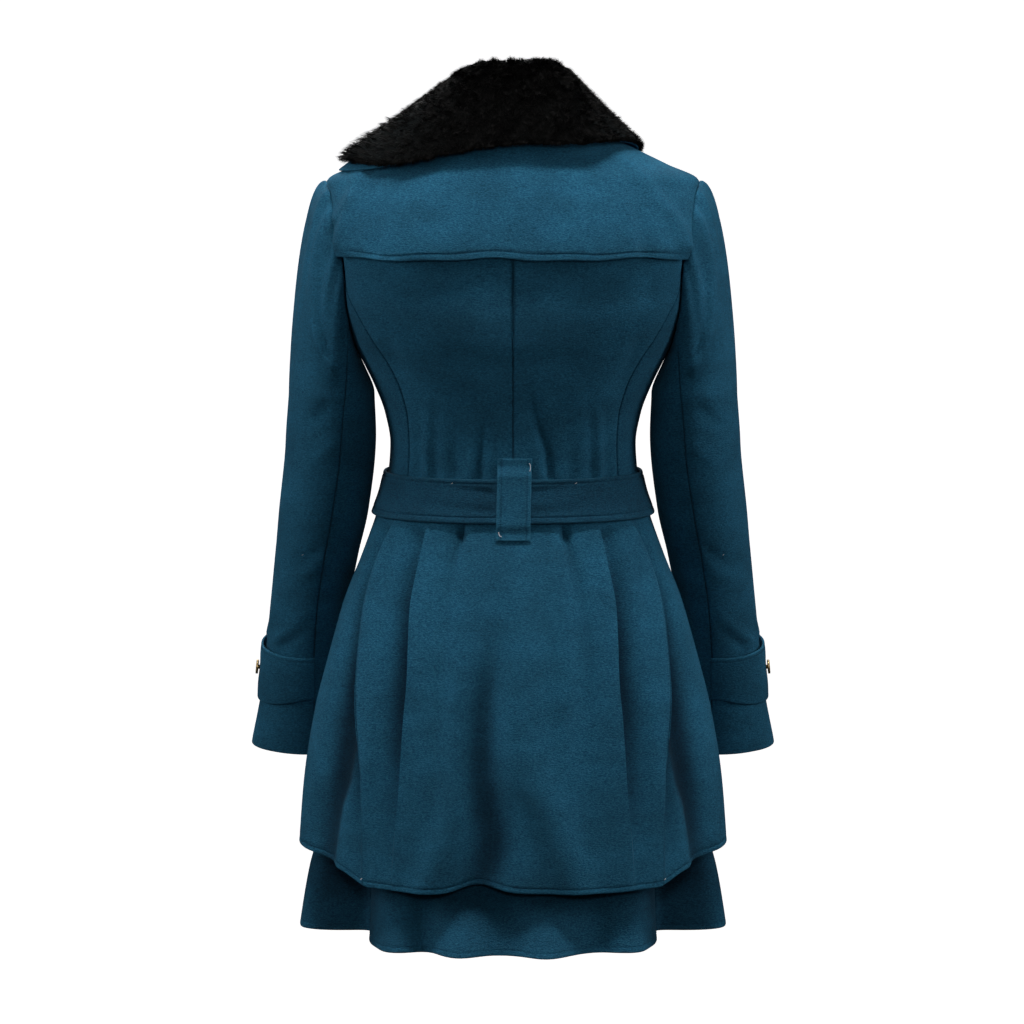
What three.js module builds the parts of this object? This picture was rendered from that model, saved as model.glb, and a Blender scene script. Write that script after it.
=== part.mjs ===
// A woman's belted winter coat in felted wool cloth, hollow and open as it stands on its wearer.
// Fitted princess-line bodice with a loose storm flap on the back, a two-layer swing skirt, two-piece
// sleeves with turned-up half cuffs, a large fur collar on a cloth under collar, and a buckled belt.
// Millimetres. +Z is up and the back faces +Y. The origin is the middle of the neck opening.
import * as THREE from "three";
import { mergeVertices } from "three/addons/utils/BufferGeometryUtils.js";

const DEG = Math.PI / 180;
const CLOTH = 2; // thickness of the wool cloth
const SEAM_GAP = 0.3; // between two pieces that are sewn together
const HALF_GAP = SEAM_GAP / 2;

// Heights of the cut
const NECK_SIDE_Z = 20;
const NECK_BACK_Z = 17;
const SHOULDER_Z = -35;
const FLAP_HEM_Z = -108.5;
const FLAP_INSET = 0.45; // share of the last row and column by which the flap stops short of its seams
const BREAK_Z = -115; // where the fronts begin to overlap
const SEAM_AT_ARMHOLE_Z = -133;
const UNDERARM_Z = -212;
const WAIST_Z = -352;

// Armhole, as an ellipse seen from the side
const ARMHOLE = { y: 2, z: (SHOULDER_Z + UNDERARM_Z) / 2, halfDepth: 60, halfHeight: (SHOULDER_Z - UNDERARM_Z) / 2 };

// Horizontal sections of the bodice: half width, reach of the back and of the front, and squareness
const BODICE_SECTIONS = [
  { z: 22, side: 70, back: 62, front: 56, square: 2 },
  { z: 0, side: 115, back: 80, front: 70, square: 2 },
  { z: -20, side: 157, back: 91, front: 79, square: 2 },
  { z: -35, side: 187, back: 98, front: 86, square: 2.1 },
  { z: -60, side: 186, back: 107, front: 98, square: 2.5 },
  { z: -108, side: 180, back: 117, front: 117, square: 3 },
  { z: -153, side: 175, back: 118, front: 129, square: 3 },
  { z: -190, side: 165, back: 114, front: 131, square: 2.8 },
  { z: -215, side: 154, back: 108, front: 124, square: 2.6 },
  { z: -240, side: 142, back: 102, front: 115, square: 2.5 },
  { z: -270, side: 131, back: 95, front: 105, square: 2.4 },
  { z: -300, side: 126, back: 92, front: 99, square: 2.3 },
  { z: -330, side: 128, back: 93, front: 99, square: 2.2 },
  { z: -360, side: 136, back: 98, front: 103, square: 2.2 },
];

// Sections of the two skirt layers; middle is how far back of the neck the widest place lies
const OVERSKIRT_SECTIONS = [
  { z: -340, side: 131, back: 95, front: 100, square: 2.2, middle: 0 },
  { z: -372, side: 140, back: 103, front: 107, square: 2.2, middle: 1 },
  { z: -414, side: 155, back: 115, front: 117, square: 2.2, middle: 4 },
  { z: -458, side: 172, back: 123, front: 131, square: 2.2, middle: 8 },
  { z: -506, side: 185, back: 131, front: 147, square: 2.2, middle: 12 },
  { z: -574, side: 202, back: 139, front: 161, square: 2.2, middle: 16 },
  { z: -640, side: 212.5, back: 145, front: 171, square: 2.2, middle: 19 },
  { z: -708, side: 218, back: 150, front: 178, square: 2.2, middle: 20 },
  { z: -745, side: 221, back: 152, front: 181, square: 2.2, middle: 20 },
];
const UNDERSKIRT_SECTIONS = [
  { z: -356, side: 132.4, back: 96.3, front: 97, square: 2.2, middle: 0.5 },
  { z: -414, side: 140, back: 98, front: 100, square: 2.2, middle: 4 },
  { z: -458, side: 145, back: 100, front: 110, square: 2.2, middle: 8 },
  { z: -506, side: 153, back: 103, front: 122, square: 2.2, middle: 12 },
  { z: -574, side: 166, back: 107, front: 136, square: 2.2, middle: 16 },
  { z: -640, side: 182, back: 115, front: 149, square: 2.2, middle: 19 },
  { z: -708, side: 202, back: 126, front: 160, square: 2.2, middle: 20 },
  { z: -740, side: 211, back: 129, front: 166, square: 2.2, middle: 20 },
  { z: -810, side: 223, back: 153, front: 176, square: 2.2, middle: 20 },
];

// Princess seams, as the angle round the body from the middle of the back or of the front
const BACK_PRINCESS = [
  { z: -133, angle: 67.5 },
  { z: -158, angle: 61 },
  { z: -185, angle: 55 },
  { z: -209, angle: 51 },
  { z: -231, angle: 49.5 },
  { z: -260, angle: 50.5 },
  { z: -300, angle: 54.5 },
  { z: -352, angle: 55.5 },
];
const FRONT_PRINCESS = [
  { z: -133, angle: 67 },
  { z: -158, angle: 55 },
  { z: -185, angle: 46 },
  { z: -231, angle: 42 },
  { z: -300, angle: 42 },
  { z: -352, angle: 44 },
];

// Knife pleats of the overskirt, drawn on the wearer's left and mirrored: the angle of a pleat's edge and
// its height down the skirt. inner and outer are its widths towards the middle and away from it.
const STEP_DROP = 2.6; // degrees over which a pleat's edge drops
const INNER_PLEAT = {
  inner: 11,
  outer: 12,
  rows: [
    { z: -352, angle: 35, height: 1 },
    { z: -372, angle: 35.5, height: 3 },
    { z: -436, angle: 34.8, height: 9 },
    { z: -491, angle: 32.4, height: 12.5 },
    { z: -545, angle: 30.5, height: 12.5 },
    { z: -627, angle: 30, height: 8 },
    { z: -700, angle: 31, height: 3 },
    { z: -735, angle: 31, height: 1 },
  ],
};
const SEAM_PLEAT = {
  inner: 13,
  outer: 12,
  rows: [
    { z: -352, angle: 57, height: 1 },
    { z: -372, angle: 58, height: 3 },
    { z: -424, angle: 61, height: 8 },
    { z: -477, angle: 57, height: 12 },
    { z: -535, angle: 52, height: 14 },
    { z: -630, angle: 44, height: 8 },
    { z: -735, angle: 41.5, height: 1.5 },
  ],
};
const FRONT_PLEATS = [
  {
    inner: 12,
    outer: 12,
    rows: [
      { z: -352, angle: 118, height: 2 },
      { z: -430, angle: 121, height: 5 },
      { z: -735, angle: 132, height: 7 },
    ],
  },
  {
    inner: 12,
    outer: 12,
    rows: [
      { z: -352, angle: 142, height: 2 },
      { z: -430, angle: 144, height: 6 },
      { z: -735, angle: 150, height: 8 },
    ],
  },
];

// Soft folds, with a height below 0 for a hollow
const fold = (inner, outer, ...rows) => ({ inner, outer, rows: rows.map(([z, angle, height]) => ({ z, angle, height })) });
const OVERSKIRT_FOLDS = [
  fold(4, 4, [-366, 18.4, -1], [-374, 18.5, -2.8], [-385, 18.8, -4.6], [-404, 20, -2], [-450, 20.5, 0]),
  fold(4, 4, [-366, -18.9, -1], [-374, -18.9, -2.8], [-385, -19.2, -4.6], [-404, -20, -2], [-450, -20.5, 0]),
  fold(6, 6, [-390, 21, -1], [-420, 21, -3], [-500, 19, -2.4], [-610, 18, -1.6], [-720, 18, 0]),
  fold(5, 6, [-390, -21, -1], [-420, -21.4, -3.4], [-500, -20.6, -3], [-610, -17.5, -1.8], [-720, -17, 0]),
  fold(8, 10, [-400, 5, 0], [-435, 5, -0.6], [-498, 5.2, -4], [-551, 7, -8], [-603, 7.2, -10], [-690, 4.5, -12], [-735, 7, -10]),
  fold(9, 7, [-420, -2, 0], [-488, -2.4, 4], [-548, -1.2, 6], [-625, -4, 7], [-660, -8, 7], [-735, -14, 5]),
  fold(6, 7, [-420, 12, 0], [-520, 13, 2.5], [-640, 14, 4], [-735, 22, 5]),
  fold(8, 13, [-420, 66, -1], [-500, 61, -8], [-560, 57.5, -13], [-630, 56, -15], [-665, 58, -13], [-735, 60, -9]),
  fold(13, 8, [-420, -66, -1], [-500, -61, -8], [-560, -57.5, -13], [-630, -56, -15], [-665, -58, -13], [-735, -60, -9]),
  fold(12, 14, [-420, 80, 0], [-520, 78, 4], [-735, 76, 6]),
  fold(14, 12, [-420, -80, 0], [-520, -78, 4], [-735, -76, 6]),
  fold(7, 7, [-368, 163, -2], [-735, 164, -5]),
  fold(7, 7, [-368, -163, -2], [-735, -164, -5]),
];

// Folds of the underskirt: waist and hem are the fold's angle at the top and the bottom, and top and low
// its height there
const UNDERSKIRT_FOLDS = [
  { waist: 59, hem: 59, top: 0, low: -58, inner: 27, outer: 24 },
  { waist: -59, hem: -59, top: 0, low: -58, inner: 24, outer: 27 },
  { waist: 31, hem: 31, top: 0, low: 8, inner: 9, outer: 8 },
  { waist: -31, hem: -31, top: 0, low: 8, inner: 8, outer: 9 },
  { waist: 12, hem: 12, top: 0, low: 15, inner: 9, outer: 12 },
  { waist: -7, hem: -7, top: 0, low: 17, inner: 13, outer: 9 },
  { waist: 120, hem: 120, top: 0, low: -26, inner: 17, outer: 17 },
  { waist: -120, hem: -120, top: 0, low: -26, inner: 17, outer: 17 },
  { waist: 150, hem: 150, top: 0, low: 9, inner: 14, outer: 14 },
  { waist: -150, hem: -150, top: 0, low: 9, inner: 14, outer: 14 },
];
const FOLDS_FROM_Z = -370; // the pleats are pressed flat above here, under the belt
const FOLDS_FULL_Z = -388;
const UNDER_FOLD_TOP_Z = -560;
const OVERSKIRT_TOP_Z = WAIST_Z - SEAM_GAP;
const OVERSKIRT_ROWS_Z = [OVERSKIRT_TOP_Z, -374, -408, -446, -510, -590, -670];
const OVERSKIRT_HEM = [
  [-180, -726],
  [-150, -722],
  [-120, -709],
  [-90, -703],
  [-75, -708],
  [-60, -717],
  [-51, -722],
  [-42, -735],
  [-25, -737],
  [0, -735],
  [8, -726],
  [16, -737],
  [25, -737],
  [42, -735],
  [51, -722],
  [60, -717],
  [75, -708],
  [90, -703],
  [120, -709],
  [150, -722],
  [180, -726],
]; // its height round from the middle of the back; it lifts over a fold near 8
const UNDERSKIRT_ROWS_Z = [-356, -430, -590, -738];
const UNDERSKIRT_HEM_Z = -798;
const UNDERSKIRT_SEAM = 58; // angle of its side-back seams, in the bottom of the deep folds

// Neckline of a front, from the break to the shoulder, as angle and height
const NECKLINE_FRONT = [
  [180, BREAK_Z],
  [178, -104],
  [175.5, -88],
  [171.5, -66],
  [160, -22],
  [138, 6],
  [90, NECK_SIDE_Z],
];

// Front overlap
const OVERLAP = 20; // how far each front passes the middle
const OVERLAP_LIFT = CLOTH + 0.6;
const OVERLAP_FADE = 45;

// Sleeve sections, down the arm: middle, half width across and front to back
const SLEEVE_SECTIONS = [
  { z: -250, x: 186, y: 0, across: 44, deep: 52 },
  { z: -300, x: 187.5, y: -6, across: 46.5, deep: 50 },
  { z: -365, x: 195, y: -19, across: 46, deep: 48 },
  { z: -414, x: 203.5, y: -34, across: 43, deep: 47 },
  { z: -458, x: 210.5, y: -50, across: 41.5, deep: 46 },
  { z: -506, x: 215.5, y: -68, across: 42.5, deep: 45 },
  { z: -570, x: 220.5, y: -90, across: 46, deep: 44 },
  { z: -634, x: 224.5, y: -111, across: 55, deep: 46 },
];
const SLEEVE_RING_SLANT = 0.6; // 1 would cut the lower rings square to the arm
const SLEEVE_CAP_SHARES = [0, 0.1, 0.32, 0.64, 1]; // rows from the armhole to the first section
const SLEEVE_ROWS_Z = [-300, -365, -435, -506, -570, -634];
const BACK_SLEEVE_SEAM = [
  { z: -212, angle: 131 },
  { z: -250, angle: 112 },
  { z: -300, angle: 106 },
  { z: -409, angle: 102 },
  { z: -506, angle: 102 },
  { z: -570, angle: 105 },
  { z: -634, angle: 112 },
];
const FRONT_SLEEVE_SEAM = 238;
const SLEEVE_COLUMNS = { upper: 10, under: 6 };
const CUFF = { bottomZ: -567, topZ: -518, bottomDrop: 16, topDrop: 3, cloth: 2.4, standOff: 2.5 };

// Belt, its loop at the middle of the back and its buckle
const BELT = { topZ: -328.5, bottomZ: -372.5, cloth: 3, lap: 3.6, startAngle: 190, endAngle: -202, columns: 48 };
const BELT_SECTIONS = [
  { z: -328, side: 132, back: 100.5, front: 107.5, square: 2.2 },
  { z: -350, side: 139, back: 104.2, front: 112, square: 2.2 },
  { z: -374, side: 146, back: 108.8, front: 117.5, square: 2.2 },
];
const LOOP = { halfWidth: 17.2, cloth: 2, ends: 2.9, overBelt: 2.6 };
const LOOP_ROWS_Z = [-389, -382, -375.5, -372, -350.5, -329, -325.5, -318, -308];
const BUCKLE = { halfWidth: 27, halfHeight: 30, rod: 5, thick: 3, corner: 8, z: -351, off: 4.1 };

// Buttons
const CUFF_BUTTON = { radius: 7.5, thick: 2.4, shank: 1.6, z: -549, angle: 4 };
const FRONT_BUTTON = { radius: 13, thick: 3.4, shank: 2 };
const FRONT_BUTTONS_Z = [-133, -216, -299, -446];

// Collar, from the middle of the back round to the front end, for the wearer's left and right: the foot
// of its stand as angle and height on the bodice, then the points of its roll and of the outer edge of its
// fall, and how far the cloth shows past the fur there. The right side's are as the left's, mirrored
const FUR = 10; // how far the fur reaches
const FUR_BACKING = 0.8; // from the under collar
const COLLAR_LEFT = [
  { foot: [0, NECK_BACK_Z], roll: [0, 66, 90], edge: [0, 92, 7], past: 0 },
  { foot: [38, 18], roll: [30, 60, 89], edge: [60, 88, -2], past: 0 },
  { foot: [66, 19], roll: [46, 34, 78], edge: [122, 74, -15], past: 0 },
  { foot: [92, 20], roll: [54, -4, 62], edge: [163, 15, -11], past: 5 },
  { foot: [138, 6], roll: [54, -40, 46], edge: [150, -54, -20], past: 0 },
  { foot: [160, -22], roll: [48, -86, 18], edge: [132, -108, -66], past: 0 },
  { foot: [171.5, -66], roll: [34, -120, -30], edge: [100, -140, -122], past: 0 },
  { foot: [177, -98], roll: [20, -138, -82], edge: [56, -152, -156], past: 0 },
];
const COLLAR_RIGHT = [
  COLLAR_LEFT[0],
  { foot: [38, 18], roll: [32, 60, 90], edge: [60, 88, 7], past: 0 },
  { foot: [66, 19], roll: [48, 34, 78], edge: [92, 66, 9], past: 0 },
  { foot: [92, 20], roll: [54, -4, 62], edge: [124, 10, 5], past: 0 },
  { foot: [138, 6], roll: [54, -40, 46], edge: [128, -54, -12], past: 0 },
  { foot: [160, -22], roll: [48, -86, 18], edge: [126, -106, -60], past: 0 },
  { foot: [171.5, -66], roll: [34, -120, -30], edge: [98, -138, -118], past: 0 },
  { foot: [177, -98], roll: [20, -138, -82], edge: [56, -152, -156], past: 0 },
];
const COLLAR_STAND_OFF = { back: -CLOTH, front: CLOTH + 5.8 }; // of its foot, from the neckline's outer face

const WOOL = new THREE.MeshStandardMaterial({ color: 0x17506a, roughness: 0.95, metalness: 0 });
const FUR_BLACK = new THREE.MeshStandardMaterial({ color: 0x0b0a0a, roughness: 0.9, metalness: 0 });
const OLD_BRASS = new THREE.MeshStandardMaterial({ color: 0x8a6a3a, roughness: 0.38, metalness: 1 });

const coat = new THREE.Group();

function piece(name, geometry, material = WOOL) {
  const mesh = new THREE.Mesh(geometry, material);
  mesh.name = name;
  coat.add(mesh);
  return mesh;
}

const lerp = THREE.MathUtils.lerp;

// A smooth curve with no overshoot through one named column of a table whose z goes down
function along(rows, column, z) {
  let i = 0;
  while (i < rows.length - 2 && z < rows[i + 1].z) i++;
  const [a, b] = [rows[i], rows[i + 1]];
  const s = THREE.MathUtils.clamp((z - a.z) / (b.z - a.z), 0, 1);
  const slope = (p, q) => (q[column] - p[column]) / (q.z - p.z);
  const between = (before, after) => (before * after > 0 ? (2 * before * after) / (before + after) : 0);
  const here = slope(a, b);
  const m0 = (i > 0 ? between(slope(rows[i - 1], a), here) : here) * (b.z - a.z);
  const m1 = (i + 2 < rows.length ? between(here, slope(b, rows[i + 2])) : here) * (b.z - a.z);
  const s2 = s * s;
  const s3 = s2 * s;
  return (2 * s3 - 3 * s2 + 1) * a[column] + (s3 - 2 * s2 + s) * m0 + (3 * s2 - 2 * s3) * b[column] + (s3 - s2) * m1;
}

const power = (value, exponent) => Math.sign(value) * Math.abs(value) ** exponent;

// A point of a horizontal section at angle t, in radians round from the middle of the back
function sectionPoint(rows, t, z) {
  const exponent = 2 / along(rows, "square", z);
  const reach = along(rows, Math.cos(t) >= 0 ? "back" : "front", z);
  const middle = "middle" in rows[0] ? along(rows, "middle", z) : 0;
  return new THREE.Vector3(along(rows, "side", z) * power(Math.sin(t), exponent), middle + reach * power(Math.cos(t), exponent), z);
}

const bodice = (t, z) => sectionPoint(BODICE_SECTIONS, t, z);

function normalOf(surface, a, b, stepA = 0.004, stepB = 0.5) {
  const across = surface(a + stepA, b).sub(surface(a - stepA, b));
  const up = surface(a, b + stepB).sub(surface(a, b - stepB));
  return up.cross(across).normalize();
}

// The same, made level near the waist so that the bodice and the skirts meet squarely there
function wallNormal(surface, a, b) {
  const normal = normalOf(surface, a, b);
  const slant = THREE.MathUtils.smoothstep(b, WAIST_Z, WAIST_Z + 30);
  return normal.setZ(normal.z * slant).normalize();
}

// How much of a fold there is at an angle, from 1 on its line to 0 past its widths
function bell(offset, inner, outer) {
  const u = offset / (offset < 0 ? inner : outer);
  return Math.abs(u) < 1 ? Math.cos((u * Math.PI) / 2) ** 2 : 0;
}

// A pleat's edge: it rises on the side towards the back, drops quickly, then a hollow fills again
const PLEAT_RISE = 0.5;
const PLEAT_HOLLOW = 1.1;
function pleatEdge(offset, inner, outer) {
  if (offset <= 0) return PLEAT_RISE * bell(offset, inner, inner);
  if (offset < STEP_DROP) return lerp(PLEAT_RISE, -PLEAT_HOLLOW, offset / STEP_DROP);
  return -PLEAT_HOLLOW * bell(offset - STEP_DROP, outer, outer);
}

const turn = (angle) => ((((angle + 180) % 360) + 360) % 360) - 180;

function pleatHeight(angle, z) {
  let height = 0;
  for (const side of [1, -1]) {
    for (const p of [INNER_PLEAT, SEAM_PLEAT, ...FRONT_PLEATS]) {
      const away = FRONT_PLEATS.includes(p) ? -1 : 1;
      const offset = away * (turn(angle) * side - along(p.rows, "angle", z));
      height += along(p.rows, "height", z) * pleatEdge(offset, p.inner, p.outer);
    }
  }
  return height;
}

function softHeight(angle, z) {
  let height = 0;
  for (const f of OVERSKIRT_FOLDS) {
    height += along(f.rows, "height", z) * bell(turn(angle - along(f.rows, "angle", z)), f.inner, f.outer);
  }
  return height;
}

function overskirtFold(angle, z) {
  const pleated = THREE.MathUtils.smoothstep(-z, -FOLDS_FROM_Z, -FOLDS_FULL_Z) * pleatHeight(angle, z);
  return pleated + THREE.MathUtils.smoothstep(-z, -FOLDS_FROM_Z - 4, -FOLDS_FROM_Z + 8) * softHeight(angle, z);
}

function underskirtFold(angle, z) {
  const share = THREE.MathUtils.smoothstep(-z, -UNDER_FOLD_TOP_Z, -UNDERSKIRT_HEM_Z);
  let height = 0;
  for (const f of UNDERSKIRT_FOLDS) {
    const offset = turn(angle - lerp(f.waist, f.hem, share));
    height += lerp(f.top, f.low, f.low > 0 ? share ** 3 : share) * bell(offset, f.inner, f.outer);
  }
  return height;
}

function folded(rows, t, z, height) {
  const base = sectionPoint(rows, t, z);
  const out = normalOf((a, b) => sectionPoint(rows, a, b), t, z);
  out.setZ(0).normalize();
  return base.addScaledVector(out, height(t / DEG, z));
}

const overskirt = (t, z) => folded(OVERSKIRT_SECTIONS, t, z, overskirtFold);
const underskirt = (t, z) => folded(UNDERSKIRT_SECTIONS, t, z, underskirtFold);

// A closed wall from a grid of outer points and the same grid of inner points
function wall(outer, inner, ring = false) {
  const rows = outer.length;
  const columns = outer[0].length;
  const points = [...outer.flat(), ...inner.flat()];
  const half = rows * columns;
  const faces = [];
  const edges = new Map();
  const front = (a, b, c) => {
    faces.push([a, b, c], [a + half, c + half, b + half]);
    for (const [p, q] of [[a, b], [b, c], [c, a]]) {
      if (!edges.delete(q + "," + p)) edges.set(p + "," + q, [p, q]);
    }
  };
  for (let i = 0; i + 1 < rows; i++) {
    for (let j = 0; j + (ring ? 0 : 1) < columns; j++) {
      const next = (j + 1) % columns;
      const [a, b] = [i * columns + j, (i + 1) * columns + j];
      const [c, d] = [i * columns + next, (i + 1) * columns + next];
      front(a, b, c);
      front(b, d, c);
    }
  }
  for (const [p, q] of edges.values()) faces.push([q, p, p + half], [q, p + half, q + half]);
  const geometry = new THREE.BufferGeometry().setFromPoints(points);
  geometry.setIndex(faces.flat());
  return geometry;
}

// A cloth wall over a surface, from a grid of its two coordinates and how far the cloth lies off it
function cloth(surface, grid, { off = () => 0, thick = CLOTH, edges = surface } = {}) {
  const outer = [];
  const inner = [];
  for (const row of grid) {
    const normals = row.map(([a, b], j) => wallNormal(j % (row.length - 1) ? surface : edges, a, b));
    outer.push(row.map(([a, b], j) => surface(a, b).addScaledVector(normals[j], off(a, b))));
    inner.push(row.map(([a, b], j) => surface(a, b).addScaledVector(normals[j], off(a, b) - thick)));
  }
  return wall(outer, inner);
}

const span = (count) => Array.from({ length: count + 1 }, (_, i) => i / count);
const mirrored = (grid) => grid.map((row) => row.map(([t, z]) => [-t, z]).reverse());

// The angle of a bodice section where it passes a given depth
function angleAtDepth(y, z) {
  const square = along(BODICE_SECTIONS, "square", z);
  const reach = along(BODICE_SECTIONS, y >= 0 ? "back" : "front", z);
  const quarter = Math.acos((Math.abs(y) / reach) ** (square / 2));
  return y >= 0 ? quarter : Math.PI - quarter;
}

// The armhole's edge on the bodice: 0 at the shoulder, a quarter turn at the back
function armhole(turnAngle, inset = 0) {
  const y = ARMHOLE.y + (ARMHOLE.halfDepth - inset) * Math.sin(turnAngle);
  const z = ARMHOLE.z + (ARMHOLE.halfHeight - inset) * Math.cos(turnAngle);
  return [angleAtDepth(y, z), z];
}

function armholeAtHeight(z, backwards) {
  const share = THREE.MathUtils.clamp((z - ARMHOLE.z) / ARMHOLE.halfHeight, -1, 1);
  return armhole((backwards ? 1 : -1) * Math.acos(share))[0];
}

// Where the princess seam is, and above it the armhole, as an angle at a height
function panelSide(z, backwards) {
  if (z > SEAM_AT_ARMHOLE_Z) return armholeAtHeight(z, backwards);
  const foot = along(backwards ? BACK_PRINCESS : FRONT_PRINCESS, "angle", z) * DEG;
  const meet = armholeAtHeight(SEAM_AT_ARMHOLE_Z, backwards);
  const blend = THREE.MathUtils.smoothstep(z, SEAM_AT_ARMHOLE_Z - 30, SEAM_AT_ARMHOLE_Z);
  return lerp(backwards ? foot : Math.PI - foot, meet, blend);
}

const UPPER_SHARES = [0.25, 0.5, 0.75, 1]; // rows of the upper back and front
const PRINCESS_ROWS_Z = [WAIST_Z, -325, -299, -262, -216, -180, SEAM_AT_ARMHOLE_Z];

// Half of the back, from the middle seam to the armhole, up to the neck and the shoulder seam
function backGrid(rowsZ = PRINCESS_ROWS_Z) {
  const columns = 8;
  const neckColumns = 4;
  const seam = HALF_GAP / 110;
  const side = (z) => panelSide(z, true) - seam;
  const top = (j) =>
    j <= neckColumns
      ? [lerp(seam, Math.PI / 2 - seam, j / neckColumns), lerp(NECK_BACK_Z, NECK_SIDE_Z, j / neckColumns)]
      : [Math.PI / 2 - seam, lerp(NECK_SIDE_Z, SHOULDER_Z, (j - neckColumns) / (columns - neckColumns))];
  const level = (z) => span(columns).map((u) => [lerp(seam, side(z), u), z]);
  const flapRow = level(FLAP_HEM_Z);
  const upper = UPPER_SHARES.map((w) =>
    flapRow.map(([t, z], j) => {
      const [topT, topZ] = top(j);
      const edgeZ = lerp(FLAP_HEM_Z, SHOULDER_Z, w);
      const correction = (j / columns) * (side(edgeZ) - lerp(side(FLAP_HEM_Z), Math.PI / 2 - seam, w));
      return [lerp(t, topT, w) + (w < 1 ? correction : 0), lerp(z, topZ, w)];
    }),
  );
  return [...rowsZ.map(level), flapRow, ...upper];
}

// Half of the front, from past the middle to the armhole, up to the neckline and the shoulder seam
function frontGrid() {
  const neckline = NECKLINE_FRONT;
  const shoulderColumns = 3;
  const columns = neckline.length - 1 + shoulderColumns;
  const seam = HALF_GAP / 110;
  const side = (z) => panelSide(z, false) + seam;
  const past = (z) => Math.PI + Math.asin((OVERLAP / along(BODICE_SECTIONS, "side", z)) ** (along(BODICE_SECTIONS, "square", z) / 2));
  const edge = (z) => lerp(past(z), Math.PI, THREE.MathUtils.smoothstep(z, BREAK_Z - 25, BREAK_Z));
  const level = (z) => {
    const lap = edge(z);
    const rest = span(columns - 2).map((u) => lerp(2 * Math.PI - past(z), side(z), u));
    return [lap, lerp(lap, rest[0], 0.5), ...rest].map((t) => [t, z]);
  };
  const breakRow = level(BREAK_Z);
  const top = (j) =>
    j < neckline.length
      ? [Math.max(neckline[j][0] * DEG, Math.PI / 2 + seam), neckline[j][1]]
      : [Math.PI / 2 + seam, lerp(NECK_SIDE_Z, SHOULDER_Z, (j - neckline.length + 1) / shoulderColumns)];
  const upper = UPPER_SHARES.map((w) =>
    breakRow.map(([t, z], j) => {
      const [topT, topZ] = top(j);
      const edgeZ = lerp(BREAK_Z, SHOULDER_Z, w);
      const correction = (j / columns) * (side(edgeZ) - lerp(side(BREAK_Z), Math.PI / 2 + seam, w));
      return [lerp(t, topT, w) + (w < 1 ? correction : 0), lerp(z, topZ, w)];
    }),
  );
  return [...PRINCESS_ROWS_Z.map(level), breakRow, ...upper];
}

// A side panel of the bodice, from the princess seam to the side seam, up to the armhole
function sideGrid(backwards) {
  const columns = 4;
  const away = backwards ? 1 : -1;
  const seam = (away * HALF_GAP) / 110;
  const meet = armholeAtHeight(SEAM_AT_ARMHOLE_Z, backwards);
  return PRINCESS_ROWS_Z.map((z, i) => {
    const rise = i / (PRINCESS_ROWS_Z.length - 1);
    const sideZ = lerp(WAIST_Z, UNDERARM_Z - HALF_GAP, rise);
    return span(columns).map((u) => {
      const lowZ = lerp(z, sideZ, u);
      const low = lerp(panelSide(z, backwards) + seam, Math.PI / 2 - seam, u);
      const topZ = lerp(SEAM_AT_ARMHOLE_Z, UNDERARM_Z, Math.sin((u * Math.PI) / 2)) - HALF_GAP;
      const onHole = armholeAtHeight(topZ, backwards);
      const topT = u === 0 ? meet + seam : onHole;
      const weight = rise ** 3;
      const straight = lerp(meet + seam, Math.PI / 2 - seam, u);
      const edgeT = u === 1 ? Math.PI / 2 - seam : topT;
      const straightZ = lerp(SEAM_AT_ARMHOLE_Z, UNDERARM_Z - HALF_GAP, u);
      return [low + weight * (edgeT - straight), lowZ + weight * (topZ - straightZ)];
    });
  });
}

// The right front lies over the left at the middle, so it is lifted there
const liftOver = (surface) => (t, z) => {
  const past = surface(t, z).x;
  return OVERLAP_LIFT * (1 - THREE.MathUtils.smoothstep(-past, OVERLAP + 1, OVERLAP + OVERLAP_FADE));
};

// Bodice pieces; each right one is the left one's mirror
const leftBack = backGrid();
piece("back_left", cloth(bodice, flipRows(leftBack)));
piece("back_right", cloth(bodice, flipRows(mirrored(leftBack))));
piece("side_back_left", cloth(bodice, flipRows(sideGrid(true))));
piece("side_back_right", cloth(bodice, flipRows(mirrored(sideGrid(true)))));
const leftSideFront = sideGrid(false).map((row) => [...row].reverse());
piece("side_front_left", cloth(bodice, flipRows(leftSideFront)));
piece("side_front_right", cloth(bodice, flipRows(mirrored(leftSideFront))));
const leftFront = frontGrid().map((row) => [...row].reverse());
piece("front_left", cloth(bodice, flipRows(leftFront)));
piece("front_right", cloth(bodice, flipRows(mirrored(leftFront)), { off: liftOver(bodice) }));

// Grids run upwards, as the wall needs
function flipRows(grid) {
  return grid[0][0][1] > grid[grid.length - 1][0][1] ? [...grid].reverse() : grid;
}

// Storm flap: the upper back's own points, moved out, loose at its hem
const flapHalf = backGrid([]);
const shortOf = (from, to, share) => from.map((value, k) => lerp(value, to[k], share));
for (const row of flapHalf) row[row.length - 1] = shortOf(row[row.length - 2], row[row.length - 1], 1 - FLAP_INSET);
flapHalf[flapHalf.length - 1] = flapHalf[flapHalf.length - 1].map((point, j) => shortOf(flapHalf[flapHalf.length - 2][j], point, 1 - FLAP_INSET));
const flapRows = flapHalf.map((row) => [...row.map(([t, z]) => [-t, z]).reverse(), ...row.slice(1)]);
piece(
  "storm_flap",
  cloth(bodice, flapRows, {
    off: (t, z) => CLOTH + lerp(2.1, 6.5, THREE.MathUtils.smoothstep(-z, 30, -FLAP_HEM_Z)),
  }),
);

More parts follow.
